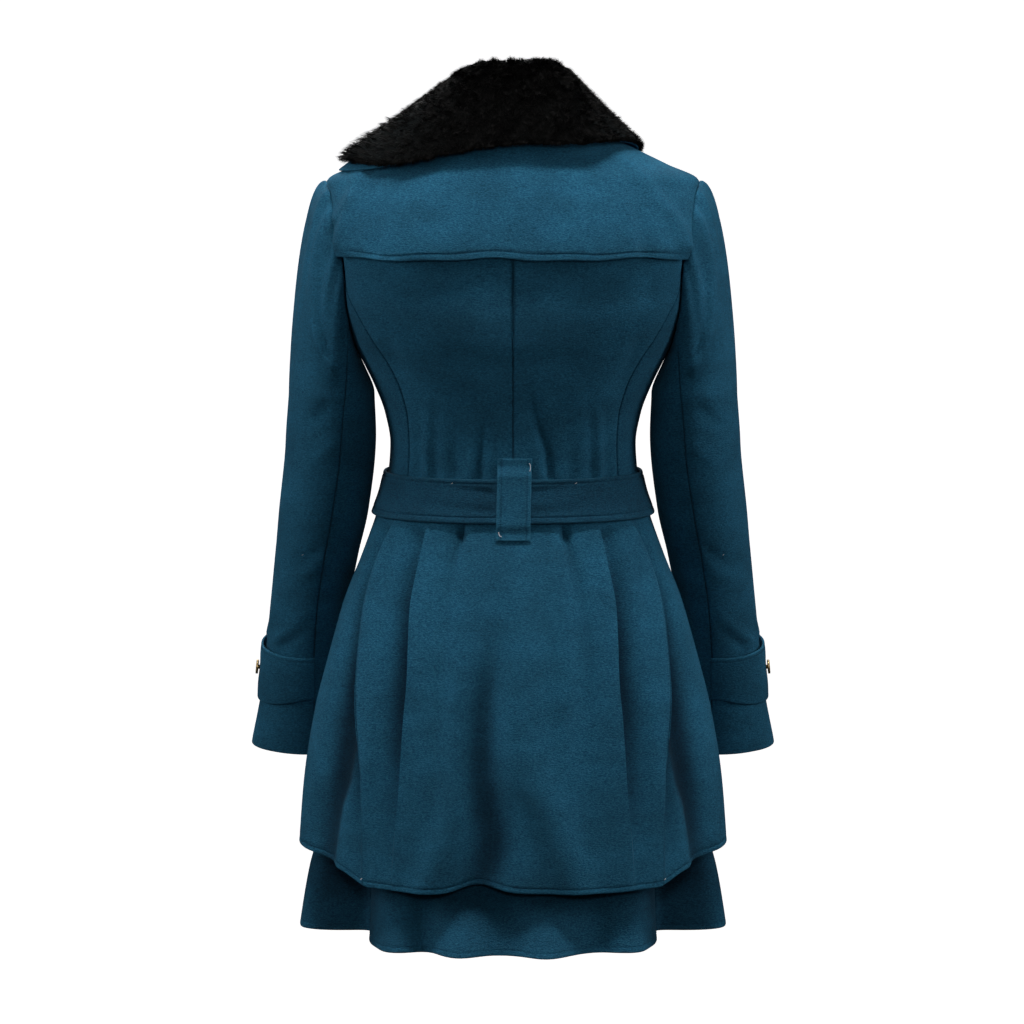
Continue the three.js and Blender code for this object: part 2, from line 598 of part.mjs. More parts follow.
// Skirts; their seams are cut square to the unfolded shape, so that two neighbours meet
const overEdges = (t, z) => sectionPoint(OVERSKIRT_SECTIONS, t, z);
const underEdges = (t, z) => sectionPoint(UNDERSKIRT_SECTIONS, t, z);
function ringGrid(knots, rowsZ, hemAt) {
  const angles = (z) =>
    knots.flatMap(([line, count], i) => {
      if (i + 1 === knots.length) return [line(z)];
      return span(count).slice(0, -1).map((u) => lerp(line(z), knots[i + 1][0](z), u));
    });
  const rows = rowsZ.map((z) => angles(z).map((angle) => [angle * DEG, z]));
  const hem = angles(rowsZ[rowsZ.length - 1]).map((angle, i, all) => {
    const z = hemAt(angle);
    return [angles(z)[i] * DEG, z];
  });
  return [...rows, hem];
}

const pleatLine = (pleat, side, shift = 0) => (z) => side * (along(pleat.rows, "angle", z) + shift);
const fixedLine = (angle) => () => angle;

function overskirtHem(angle) {
  const at = turn(angle);
  const next = Math.max(1, OVERSKIRT_HEM.findIndex(([there]) => there >= at));
  const [a, b] = [OVERSKIRT_HEM[next - 1], OVERSKIRT_HEM[next]];
  return lerp(a[1], b[1], (at - a[0]) / (b[0] - a[0]));
}

const seamShift = HALF_GAP / 150 / DEG;
const lapAngle = (surface, z) => Math.asin((OVERLAP / Math.abs(surface(90 * DEG, z).x)) ** 1.1) / DEG;
const pastFront = (surface) => (z) => 180 + lapAngle(surface, z);
const beforeFront = (surface) => (z) => 180 - lapAngle(surface, z);

const backKnots = [
  [pleatLine(SEAM_PLEAT, -1, -seamShift), 4],
  [pleatLine(INNER_PLEAT, -1, STEP_DROP), 1],
  [pleatLine(INNER_PLEAT, -1), 3],
  [fixedLine(-19), 4],
  [fixedLine(-3), 4],
  [fixedLine(19), 3],
  [pleatLine(INNER_PLEAT, 1), 1],
  [pleatLine(INNER_PLEAT, 1, STEP_DROP), 4],
  [pleatLine(SEAM_PLEAT, 1, -seamShift), 1],
];
const sideKnots = [
  [pleatLine(SEAM_PLEAT, 1, seamShift), 1],
  [pleatLine(SEAM_PLEAT, 1, STEP_DROP), 7],
  [pleatLine(FRONT_PLEATS[0], 1, -STEP_DROP), 1],
  [pleatLine(FRONT_PLEATS[0], 1), 3],
  [pleatLine(FRONT_PLEATS[1], 1, -STEP_DROP), 1],
  [pleatLine(FRONT_PLEATS[1], 1), 2],
  [fixedLine(164), 2],
  [beforeFront(overskirt), 1],
  [fixedLine(180), 1],
  [pastFront(overskirt), 1],
];
piece("overskirt_back", cloth(overskirt, flipRows(ringGrid(backKnots, OVERSKIRT_ROWS_Z, overskirtHem)), { edges: overEdges }));
const overLeft = ringGrid(sideKnots, OVERSKIRT_ROWS_Z, overskirtHem);
piece("overskirt_left", cloth(overskirt, flipRows(overLeft), { edges: overEdges }));
piece("overskirt_right", cloth(overskirt, flipRows(mirrored(overLeft)), { off: liftOver(overskirt), edges: overEdges }));

const underBackKnots = [
  [fixedLine(-UNDERSKIRT_SEAM + seamShift), 5],
  [fixedLine(-41), 3],
  [fixedLine(-20), 2],
  [fixedLine(-7), 2],
  [fixedLine(2), 2],
  [fixedLine(12), 3],
  [fixedLine(41), 5],
  [fixedLine(UNDERSKIRT_SEAM - seamShift), 1],
];
const underSideKnots = [
  [fixedLine(UNDERSKIRT_SEAM + seamShift), 5],
  [fixedLine(88), 3],
  [fixedLine(104), 3],
  [fixedLine(120), 3],
  [fixedLine(137), 4],
  [beforeFront(underskirt), 1],
  [fixedLine(180), 1],
  [pastFront(underskirt), 1],
];
const levelHem = () => UNDERSKIRT_HEM_Z;
piece("underskirt_back", cloth(underskirt, flipRows(ringGrid(underBackKnots, UNDERSKIRT_ROWS_Z, levelHem)), { edges: underEdges }));
const underLeft = ringGrid(underSideKnots, UNDERSKIRT_ROWS_Z, levelHem);
piece("underskirt_left", cloth(underskirt, flipRows(underLeft), { edges: underEdges }));
piece("underskirt_right", cloth(underskirt, flipRows(mirrored(underLeft)), { off: liftOver(underskirt), edges: underEdges }));

// Sleeves
const sleeveMiddle = (z) => new THREE.Vector3(along(SLEEVE_SECTIONS, "x", z), along(SLEEVE_SECTIONS, "y", z), z);

// A point of the arm's tube: 0 is its outer side and a quarter turn its back
function tubePoint(angle, z) {
  const centre = sleeveMiddle(z);
  const axis = sleeveMiddle(z - 4).sub(sleeveMiddle(z + 4)).normalize();
  const slant = SLEEVE_RING_SLANT * THREE.MathUtils.smoothstep(-z, 250, 330);
  const outward = new THREE.Vector3(1, 0, lerp(0, -axis.x / axis.z, slant));
  const backward = new THREE.Vector3(0, 1, lerp(0, -axis.y / axis.z, slant));
  return centre
    .addScaledVector(outward, along(SLEEVE_SECTIONS, "across", z) * Math.cos(angle))
    .addScaledVector(backward, along(SLEEVE_SECTIONS, "deep", z) * Math.sin(angle));
}

// The sleeve's head: from the armhole out over the shoulder and down into the tube
function sleeveHead(angle, share) {
  const seat = armhole(angle, 0.4);
  const start = bodice(...seat).addScaledVector(normalOf(bodice, ...seat), 0.8);
  const end = tubePoint(angle, SLEEVE_SECTIONS[0].z);
  const length = start.distanceTo(end);
  const up = Math.cos(angle);
  const raisedBy = (up + 1) / 2;
  const leave = new THREE.Vector3(lerp(0.1, 0.85, raisedBy), 0.25 * Math.sin(angle), lerp(-0.95, 0.35, raisedBy));
  leave.multiplyScalar(lerp(18, 90, raisedBy));
  const arrive = new THREE.Vector3(0.02, 0, -1).multiplyScalar(length * 0.9);
  const s = share;
  return start
    .multiplyScalar(2 * s ** 3 - 3 * s ** 2 + 1)
    .addScaledVector(leave, s ** 3 - 2 * s ** 2 + s)
    .addScaledVector(end, 3 * s ** 2 - 2 * s ** 3)
    .addScaledVector(arrive, s ** 3 - s ** 2);
}

// Rows down the sleeve: below 1 a share of its head, and from 1 on a place down its tube
const sleeveRowValues = [...SLEEVE_CAP_SHARES, ...SLEEVE_ROWS_Z.map((z) => 1 + (SLEEVE_SECTIONS[0].z - z) / 100)];
const sleeveZ = (row) => SLEEVE_SECTIONS[0].z - (row - 1) * 100;
const sleeve = (angle, row) => (row <= 1 ? sleeveHead(angle, Math.max(row, 0)) : tubePoint(angle, sleeveZ(row)));
const sleeveSurface = (angle, rise) => sleeve(angle, -rise);
const backSeam = (row) => along(BACK_SLEEVE_SEAM, "angle", row <= 1 ? lerp(-212, -250, row) : sleeveZ(row)) * DEG;

function sleeveGrid(from, to, columns) {
  return sleeveRowValues.map((row) => span(columns).map((u) => [lerp(from(row), to(row), u), -row]));
}

function sleeveWall(grid, side, off = () => 0, thick = CLOTH) {
  const outer = [];
  const inner = [];
  for (const row of [...grid].reverse()) {
    const points = row.map(([angle, rise]) => {
      const clamped = Math.min(rise, -0.03);
      const out = normalOf(sleeveSurface, angle, clamped, 0.01, 0.02).negate();
      const at = sleeveSurface(angle, rise);
      return [at.clone().addScaledVector(out, off(angle, rise)), at.addScaledVector(out, off(angle, rise) - thick)];
    });
    outer.push(points.map((p) => p[0]).reverse());
    inner.push(points.map((p) => p[1]).reverse());
  }
  if (side < 0) {
    for (const row of [...outer, ...inner]) {
      row.reverse();
      row.forEach((p) => p.setX(-p.x));
    }
  }
  return wall(outer, inner);
}

const seamTurn = (HALF_GAP * 2) / 46;
const frontSeam = -(360 - FRONT_SLEEVE_SEAM) * DEG;
const upperSleeve = sleeveGrid(() => frontSeam + seamTurn, (row) => backSeam(row) - seamTurn, SLEEVE_COLUMNS.upper);
const underSleeve = sleeveGrid((row) => backSeam(row) + seamTurn, () => FRONT_SLEEVE_SEAM * DEG - seamTurn, SLEEVE_COLUMNS.under);
for (const [name, side] of [["left", 1], ["right", -1]]) {
  piece("upper_sleeve_" + name, sleeveWall(upperSleeve, side));
  piece("under_sleeve_" + name, sleeveWall(underSleeve, side));
}


// Half cuffs, sewn round the upper sleeve and standing off it at their free upper edge
const rowAt = (z) => 1 + (SLEEVE_SECTIONS[0].z - z) / 100;
const cuffShares = [0, 0.3, 0.6, 0.85, 1];
const cuffGrid = cuffShares
  .map((share) => {
    const row = rowAt(lerp(CUFF.bottomZ, CUFF.topZ, share));
    return span(SLEEVE_COLUMNS.upper).map((u) => {
      const angle = lerp(frontSeam + seamTurn, backSeam(row) - seamTurn, u);
      const drop = lerp(CUFF.bottomDrop, CUFF.topDrop, share) * Math.max(0, Math.cos(angle * 0.95));
      return [angle, -(row + drop / 100)];
    });
  })
  .reverse();
const cuffOff = (angle, rise) => {
  const share = (sleeveZ(-rise) - CUFF.bottomZ) / (CUFF.topZ - CUFF.bottomZ);
  return CUFF.cloth + 0.8 + CUFF.standOff * THREE.MathUtils.clamp(share, 0, 1);
};

// A turned solid from a profile of radius and height, closed at both ends on its axis
function turned(profile, segments) {
  const points = [];
  const faces = [];
  const ring = (i) => 1 + (i - 1) * segments;
  const last = profile.length - 1;
  points.push(new THREE.Vector3(0, 0, profile[0][1]));
  for (const [radius, height] of profile.slice(1, last)) {
    for (const u of span(segments).slice(1)) {
      points.push(new THREE.Vector3(radius * Math.cos(u * 2 * Math.PI), radius * Math.sin(u * 2 * Math.PI), height));
    }
  }
  points.push(new THREE.Vector3(0, 0, profile[last][1]));
  for (let k = 0; k < segments; k++) {
    const next = (k + 1) % segments;
    faces.push([0, ring(1) + next, ring(1) + k]);
    for (let i = 1; i < last - 1; i++) {
      faces.push([ring(i) + k, ring(i) + next, ring(i + 1) + k], [ring(i) + next, ring(i + 1) + next, ring(i + 1) + k]);
    }
    faces.push([points.length - 1, ring(last - 1) + k, ring(last - 1) + next]);
  }
  const geometry = new THREE.BufferGeometry().setFromPoints(points);
  geometry.setIndex(faces.flat());
  return geometry;
}

function buttonGeometry({ radius, thick, shank }) {
  const rim = shank + thick;
  return turned(
    [
      [0, 0],
      [radius * 0.28, 0],
      [radius * 0.28, shank],
      [radius * 0.88, shank],
      [radius, shank + thick * 0.4],
      [radius * 0.94, rim],
      [radius * 0.74, rim - thick * 0.12],
      [radius * 0.62, rim - thick * 0.42],
      [0, rim - thick * 0.3],
    ],
    14,
  );
}

// Puts a part made round +Z at a point of a surface, facing out
function seat(geometry, at, facing) {
  const turnTo = new THREE.Quaternion().setFromUnitVectors(new THREE.Vector3(0, 0, 1), facing);
  return geometry.applyQuaternion(turnTo).translate(at.x, at.y, at.z);
}

for (const [name, side] of [["left", 1], ["right", -1]]) {
  piece("cuff_" + name, sleeveWall(cuffGrid, side, cuffOff, CUFF.cloth));
  const angle = CUFF_BUTTON.angle * DEG;
  const rise = -rowAt(CUFF_BUTTON.z);
  const facing = normalOf(sleeveSurface, angle, rise, 0.01, 0.02).negate();
  const at = sleeveSurface(angle, rise).addScaledVector(facing, cuffOff(angle, rise) + SEAM_GAP);
  for (const v of [at, facing]) v.setX(v.x * side);
  piece("cuff_button_" + name, seat(buttonGeometry(CUFF_BUTTON), at, facing), OLD_BRASS);
}

// Front buttons, on the right front's edge above and below the belt
FRONT_BUTTONS_Z.forEach((z, i) => {
  const surface = z > WAIST_Z ? bodice : overskirt;
  const facing = normalOf(surface, Math.PI, z);
  const at = surface(Math.PI, z).addScaledVector(facing, OVERLAP_LIFT + 3 * SEAM_GAP);
  piece("front_button_" + (i + 1), seat(buttonGeometry(FRONT_BUTTON), at, facing), OLD_BRASS);
});

// Belt: one strap from the buckle round the back, its free end lapping over its start
const beltLine = (t, z) => sectionPoint(BELT_SECTIONS, t, z);
const beltAngles = span(BELT.columns).map((u) => lerp(BELT.startAngle, BELT.endAngle, u) * DEG);
const beltLift = (t) => BELT.lap * THREE.MathUtils.smoothstep(-t / DEG, 140, 168);
const beltGrid = [BELT.bottomZ, (BELT.topZ + BELT.bottomZ) / 2, BELT.topZ].map((z) => [...beltAngles].reverse().map((t) => [t, z]));
piece("belt", cloth(beltLine, beltGrid, { off: beltLift, thick: BELT.cloth }));

// Loop that holds the belt at the middle of the back, sewn down above and below it
const loopBase = (t, z) => (z > WAIST_Z ? bodice(t, z) : overskirt(t, z));
function loopPoint(x, z, depth) {
  const angle = (surface) => Math.asin(Math.abs(x / surface(Math.PI / 2, z).x) ** (along(BELT_SECTIONS, "square", -350) / 2)) * Math.sign(x);
  const base = loopBase(angle(loopBase), z).y + LOOP.ends;
  const over = beltLine(angle(beltLine), THREE.MathUtils.clamp(z, BELT.bottomZ, BELT.topZ)).y + LOOP.overBelt;
  const near = THREE.MathUtils.smoothstep(z, -386, -374) * (1 - THREE.MathUtils.smoothstep(z, -327, -315));
  return new THREE.Vector3(x, lerp(base, over, near) - depth, z);
}
const loopX = [LOOP.halfWidth, LOOP.halfWidth / 2, 0, -LOOP.halfWidth / 2, -LOOP.halfWidth];
const loopFace = (depth) => LOOP_ROWS_Z.map((z) => loopX.map((x) => loopPoint(-x, z, depth)));
piece("belt_loop", wall(loopFace(0), loopFace(LOOP.cloth)));

// Buckle: a flat rounded frame with its prong
function roundedRect(path, halfWidth, halfHeight, corner) {
  path.moveTo(-halfWidth + corner, -halfHeight);
  path.lineTo(halfWidth - corner, -halfHeight);
  path.absarc(halfWidth - corner, -halfHeight + corner, corner, -Math.PI / 2, 0);
  path.lineTo(halfWidth, halfHeight - corner);
  path.absarc(halfWidth - corner, halfHeight - corner, corner, 0, Math.PI / 2);
  path.lineTo(-halfWidth + corner, halfHeight);
  path.absarc(-halfWidth + corner, halfHeight - corner, corner, Math.PI / 2, Math.PI);
  path.lineTo(-halfWidth, -halfHeight + corner);
  path.absarc(-halfWidth + corner, -halfHeight + corner, corner, Math.PI, Math.PI * 1.5);
  return path;
}
const frame = roundedRect(new THREE.Shape(), BUCKLE.halfWidth, BUCKLE.halfHeight, BUCKLE.corner);
const prong = BUCKLE.rod / 2;
for (const side of [1, -1]) {
  const hole = new THREE.Path();
  const reach = BUCKLE.halfWidth - BUCKLE.rod;
  const height = BUCKLE.halfHeight - BUCKLE.rod;
  hole.moveTo(-reach, side * prong);
  hole.lineTo(reach, side * prong);
  hole.lineTo(reach, side * (height - 3));
  hole.lineTo(reach - 3, side * height);
  hole.lineTo(3 - reach, side * height);
  hole.lineTo(-reach, side * (height - 3));
  frame.holes.push(hole);
}
const buckle = new THREE.ExtrudeGeometry(frame, { depth: BUCKLE.thick, bevelEnabled: false, curveSegments: 4 });
buckle.deleteAttribute("uv");
buckle.deleteAttribute("normal");
const beltFacing = normalOf(beltLine, Math.PI, BUCKLE.z);
buckle.rotateX(Math.PI / 2);
buckle.rotateX(-Math.asin(beltFacing.z));
const buckleAt = beltLine(Math.PI, BUCKLE.z).addScaledVector(beltFacing, BUCKLE.off);
buckle.translate(buckleAt.x, buckleAt.y, buckleAt.z);
piece("belt_buckle", mergeVertices(buckle, 1e-4), OLD_BRASS);

// Collar: across it 0 is the foot of the stand and 1 the edge of the fall
function collarRow({ foot, roll, edge, past }, side) {
  const at = [foot[0] * DEG, foot[1]];
  const front = THREE.MathUtils.smoothstep(foot[0], 100, 150);
  const off = lerp(COLLAR_STAND_OFF.back, COLLAR_STAND_OFF.front, front);
  const points = [bodice(...at).addScaledVector(normalOf(bodice, ...at), off), new THREE.Vector3(...roll), new THREE.Vector3(...edge)];
  points[0].z += (1 - front) * 3.2;
  for (const point of points) point.x *= side;
  return { foot: points[0], roll: points[1], edge: points[2], past };
}
const collarRows = [
  ...COLLAR_RIGHT.slice(1).map((row) => collarRow(row, -1)).reverse(),
  ...COLLAR_LEFT.map((row) => collarRow(row, 1)),
];
const collarCurve = (column) => new THREE.CatmullRomCurve3(collarRows.map((row) => row[column]));
const [footCurve, rollCurve, edgeCurve] = ["foot", "roll", "edge"].map(collarCurve);
function collar(u, share) {
  const [foot, roll, edge] = [footCurve, rollCurve, edgeCurve].map((curve) => curve.getPoint(THREE.MathUtils.clamp(u, 0, 1)));
  const rise = roll.clone().sub(foot);
  const fall = edge.clone().sub(roll);
  const upper = foot.clone().addScaledVector(rise, 1.35);
  const over = roll.clone().addScaledVector(rise, 0.35).addScaledVector(fall, 0.25);
  const q = 1 - share;
  return foot
    .multiplyScalar(q ** 3)
    .addScaledVector(upper, 3 * q * q * share)
    .addScaledVector(over, 3 * q * share * share)
    .addScaledVector(edge, share ** 3);
}
const collarNormal = (u, share) => normalOf(collar, THREE.MathUtils.clamp(u, 0.01, 0.99), share, 0.005, 0.01).negate();
function collarPast(u) {
  const at = u * (collarRows.length - 1);
  const i = Math.min(Math.floor(at), collarRows.length - 2);
  const past = lerp(collarRows[i].past, collarRows[i + 1].past, at - i);
  return [1 + (1 + past) / edgeCurve.getPoint(u).distanceTo(rollCurve.getPoint(u))];
}
function collarWall(near, far, reach) {
  const face = (off) =>
    span(24).map((u) => [...span(6), ...reach(u)].map((share) => collar(u, share).addScaledVector(collarNormal(u, share), off)));
  return wall(face(far), face(near));
}
piece("under_collar", collarWall(-CLOTH, 0, collarPast));
piece("fur_collar", collarWall(FUR_BACKING, FUR_BACKING + FUR, () => []), FUR_BLACK);

export default coat;
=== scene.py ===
import math
from collections import namedtuple

import bpy
import numpy as np
from mathutils import Matrix, Vector


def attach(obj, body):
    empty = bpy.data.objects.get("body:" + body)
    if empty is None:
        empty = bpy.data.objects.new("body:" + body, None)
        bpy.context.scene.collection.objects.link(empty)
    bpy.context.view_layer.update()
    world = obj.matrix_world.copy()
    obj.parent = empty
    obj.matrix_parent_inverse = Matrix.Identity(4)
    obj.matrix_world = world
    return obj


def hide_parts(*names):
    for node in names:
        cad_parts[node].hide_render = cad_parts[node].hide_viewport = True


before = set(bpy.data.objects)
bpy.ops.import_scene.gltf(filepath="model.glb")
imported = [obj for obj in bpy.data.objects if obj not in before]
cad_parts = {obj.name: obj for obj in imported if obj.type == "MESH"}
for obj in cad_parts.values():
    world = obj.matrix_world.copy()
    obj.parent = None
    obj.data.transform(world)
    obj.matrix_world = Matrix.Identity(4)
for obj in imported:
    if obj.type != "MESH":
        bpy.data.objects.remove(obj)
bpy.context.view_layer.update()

MM = 0.001
CLOTH = 2.0
SEAM_GAP = 0.3
HALF_GAP = SEAM_GAP / 2
SEED = 11

# Heights of the cut
NECK_SIDE_Z = 20
NECK_BACK_Z = 17
SHOULDER_Z = -35
FLAP_HEM_Z = -108.5
BREAK_Z = -115
SEAM_AT_ARMHOLE_Z = -133
UNDERARM_Z = -212
WAIST_Z = -352
PLEATS_FROM_Z = -370
PLEATS_FULL_Z = -388
FOLDS_FROM_Z = -364
FOLDS_FULL_Z = -376

Section = namedtuple("Section", "z side back front square middle", defaults=[0])
Line = namedtuple("Line", "z angle")
FoldRow = namedtuple("FoldRow", "z angle height")
Fold = namedtuple("Fold", "rows inner outer")
Armhole = namedtuple("Armhole", "y z half_depth half_height")
Arm = namedtuple("Arm", "z x y across deep")
CollarRow = namedtuple("CollarRow", "foot roll edge past")
Crease = namedtuple("Crease", "points start end width")
Cut = namedtuple("Cut", "width length area held rests_on")

# Horizontal sections of the bodice: half width, reach of the back and of the front, and squareness
BODICE = [
    Section(22, 70, 62, 56, 2),
    Section(0, 115, 80, 70, 2),
    Section(-20, 157, 91, 79, 2),
    Section(-35, 187, 98, 86, 2.1),
    Section(-60, 186, 107, 98, 2.5),
    Section(-108, 180, 117, 117, 3),
    Section(-153, 175, 118, 129, 3),
    Section(-190, 165, 114, 131, 2.8),
    Section(-215, 154, 108, 124, 2.6),
    Section(-240, 142, 102, 115, 2.5),
    Section(-270, 131, 95, 105, 2.4),
    Section(-300, 126, 92, 99, 2.3),
    Section(-330, 128, 93, 99, 2.2),
    Section(-360, 136, 98, 103, 2.2),
]
OVERSKIRT = [
    Section(-340, 131, 95, 100, 2.2, 0),
    Section(-372, 140, 103, 107, 2.2, 1),
    Section(-414, 155, 115, 117, 2.2, 4),
    Section(-458, 172, 123, 131, 2.2, 8),
    Section(-506, 185, 131, 147, 2.2, 12),
    Section(-574, 202, 139, 161, 2.2, 16),
    Section(-640, 212.5, 145, 171, 2.2, 19),
    Section(-708, 218, 150, 178, 2.2, 20),
    Section(-745, 221, 152, 181, 2.2, 20),
]
UNDERSKIRT = [
    Section(-356, 132.4, 96.3, 97, 2.2, 0.5),
    Section(-414, 140, 98, 100, 2.2, 4),
    Section(-458, 145, 100, 110, 2.2, 8),
    Section(-506, 153, 103, 122, 2.2, 12),
    Section(-574, 166, 107, 136, 2.2, 16),
    Section(-640, 182, 115, 149, 2.2, 19),
    Section(-708, 202, 126, 160, 2.2, 20),
    Section(-740, 211, 129, 166, 2.2, 20),
    Section(-810, 223, 153, 176, 2.2, 20),
]

# Princess seams, as the angle round the body from the middle of the back or of the front
BACK_PRINCESS = [
    Line(-133, 67.5),
    Line(-158, 61),
    Line(-185, 55),
    Line(-209, 51),
    Line(-231, 49.5),
    Line(-260, 50.5),
    Line(-300, 54.5),
    Line(-352, 55.5),
]
FRONT_PRINCESS = [
    Line(-133, 67),
    Line(-158, 55),
    Line(-185, 46),
    Line(-231, 42),
    Line(-300, 42),
    Line(-352, 44),
]
# The front's neckline, as angle and height
NECKLINE_FRONT = [
    (180, BREAK_Z),
    (178, -104),
    (175.5, -88),
    (171.5, -66),
    (160, -22),
    (138, 6),
    (90, NECK_SIDE_Z),
]
ARMHOLE = Armhole(2, (SHOULDER_Z + UNDERARM_Z) / 2, 60, (SHOULDER_Z - UNDERARM_Z) / 2)

# Knife pleats of the overskirt's back, whose outer side drops away: the seam to the side panel runs in
# the first one's edge
PLEAT_DROP = 0.9
SEAM_PLEAT = [
    FoldRow(-352, 57, 1),
    FoldRow(-372, 58, 3),
    FoldRow(-424, 61, 8),
    FoldRow(-477, 57, 12),
    FoldRow(-535, 52, 14),
    FoldRow(-630, 44, 8),
    FoldRow(-735, 41.5, 1.5),
]
INNER_PLEAT = [
    FoldRow(-352, 35, 1),
    FoldRow(-372, 35.5, 3),
    FoldRow(-436, 34.8, 9),
    FoldRow(-491, 32.4, 12.5),
    FoldRow(-545, 30.5, 12.5),
    FoldRow(-627, 30, 8),
    FoldRow(-700, 31, 3),
    FoldRow(-735, 31, 1),
]
FRONT_PLEATS = [
    [FoldRow(-352, 118, 2), FoldRow(-430, 121, 5), FoldRow(-735, 132, 7)],
    [FoldRow(-352, 142, 2), FoldRow(-430, 144, 6), FoldRow(-735, 150, 8)],
]
# Widths of the pleats' shaped stretches, before and after their edges
SEAM_PLEAT_WIDTHS = (13, 12)
INNER_PLEAT_WIDTHS = (11, 12)
FRONT_PLEAT_WIDTHS = (12, 12)


def fold(inner, outer, *rows):
    return Fold([FoldRow(*row) for row in rows], inner, outer)


def both_sides(one):
    """A fold of the wearer's left side, and its mirror on the right."""
    other = [FoldRow(row.z, -row.angle, row.height) for row in one.rows]
    return [one, Fold(other, one.outer, one.inner)]


# Soft folds, with a height below 0 for a hollow. inner is the width towards the wearer's right
SOFT_FOLDS = [
    fold(
        2.8,
        2.8,
        (-366, 18.4, -1.4),
        (-374, 18.5, -3.4),
        (-385, 18.8, -6.4),
        (-404, 20, -2.6),
        (-450, 20.5, 0),
    ),
    fold(
        2.8,
        2.8,
        (-366, -18.9, -1.4),
        (-374, -18.9, -3.4),
        (-385, -19.2, -6.4),
        (-404, -20, -2.6),
        (-450, -20.5, 0),
    ),
    fold(6, 6, (-390, 21, -1), (-420, 21, -3), (-500, 19, -2.4), (-610, 18, -1.6), (-720, 18, 0)),
    fold(5, 6, (-390, -21, -1), (-420, -21.4, -3.4), (-500, -20.6, -3), (-610, -17.5, -1.8), (-720, -17, 0)),
    fold(
        8,
        10,
        (-400, 5, 0),
        (-435, 5, -0.6),
        (-498, 5.2, -4),
        (-551, 7, -8),
        (-603, 7.2, -10),
        (-690, 4.5, -12),
        (-735, 7, -10),
    ),
    fold(9, 7, (-420, -2, 0), (-488, -2.4, 4), (-548, -1.2, 6), (-625, -4, 7), (-660, -8, 7), (-735, -14, 5)),
    fold(6, 7, (-420, 12, 0), (-520, 13, 2.5), (-640, 14, 4), (-735, 22, 5)),
    *both_sides(
        fold(
            8,
            13,
            (-420, 66, -1),
            (-500, 61, -8),
            (-560, 57.5, -13),
            (-630, 56, -15),
            (-665, 58, -13),
            (-735, 60, -9),
        )
    ),
    *both_sides(fold(12, 14, (-420, 80, 0), (-520, 78, 4), (-735, 76, 6))),
    *both_sides(fold(7, 7, (-368, 163, -2), (-735, 164, -5))),
]
UNDER_FOLDS = [
    *both_sides(fold(27, 24, (-560, 59, 0), (-650, 59, -19), (-735, 59, -50), (-798, 59, -58))),
    *both_sides(fold(9, 8, (-680, 31, 0), (-740, 31, 4), (-798, 31, 8))),
    fold(9, 9, (-680, 12, 0), (-735, 12, 6), (-798, 12, 15)),
    fold(10, 9, (-680, -7, 0), (-735, -7, 7), (-798, -7, 17)),
    fold(6, 6, (-680, 22, 0), (-735, 22, -4), (-798, 21.5, -5)),
    fold(6, 6, (-680, -20, 0), (-735, -20, -4), (-798, -20, -4)),
    *both_sides(fold(17, 17, (-600, 120, 0), (-700, 120, -13), (-798, 120, -26))),
    *both_sides(fold(14, 14, (-600, 150, 0), (-798, 150, 9))),
]
OVERSKIRT_TOP_Z = WAIST_Z - SEAM_GAP
# Angle and height of the overskirt's hem: its middle, where it lifts over a fold near 8, then one side
HEM_MIDDLE = [(0, -735), (8, -726), (16, -737)]
HEM_SIDE = [
    (25, -737),
    (42, -735),
    (47, -727),
    (51, -722),
    (60, -717),
    (75, -708),
    (90, -703),
    (120, -709),
    (150, -722),
    (180, -726),
]
OVER_HEM = [(-angle, height) for angle, height in reversed(HEM_SIDE)] + HEM_MIDDLE + HEM_SIDE
HEM_BLUR = (-2.4, -1.2, 0, 1.2, 2.4)
UNDERSKIRT_TOP_Z = -356
UNDERSKIRT_HEM_Z = -798
UNDERSKIRT_SEAM = 58

# Front overlap, right over left
OVERLAP = 20
OVERLAP_LIFT = CLOTH + 0.6
OVERLAP_FADE = 45

# The arm's tube: its middle, and its half width across and front to back
ARM = [
    Arm(-250, 186, 0, 44, 52),
    Arm(-300, 187.5, -6, 46.5, 50),
    Arm(-365, 195, -19, 46, 48),
    Arm(-414, 203.5, -34, 43, 47),
    Arm(-458, 210.5, -50, 41.5, 46),
    Arm(-506, 215.5, -68, 42.5, 45),
    Arm(-570, 220.5, -90, 46, 44),
    Arm(-634, 224.5, -111, 55, 46),
]
ARM_TOP_Z = -250
SLEEVE_HEM_Z = -634
# How far the tube's rings turn square to its middle line, and the height where they reach it
RING_SLANT = 0.6
SLANT_FULL_Z = -330
BACK_SLEEVE_SEAM = [
    Line(-212, 131),
    Line(-250, 112),
    Line(-300, 106),
    Line(-409, 102),
    Line(-506, 102),
    Line(-570, 105),
    Line(-634, 112),
]
FRONT_SLEEVE_SEAM = -122
CUFF_BOTTOM_Z = -567
CUFF_TOP_Z = -518
CUFF_BOTTOM_DROP = 16
CUFF_TOP_DROP = 3
CUFF_CLOTH = 2.4
CUFF_STAND_OFF = 2.5
BUTTON_ANGLE = 4

# Belt and its loop
BELT = [
    Section(-328, 132, 100.5, 107.5, 2.2),
    Section(-350, 139, 104.2, 112, 2.2),
    Section(-374, 146, 108.8, 117.5, 2.2),
]
BELT_TOP_Z = -328.5
BELT_BOTTOM_Z = -372.5
BELT_CLOTH = 3.0
BELT_LAP = 3.6
BELT_START = 190
BELT_END = -202
LOOP_TOP_Z = -308
LOOP_BOTTOM_Z = -389
LOOP_HALF_WIDTH = 17.2

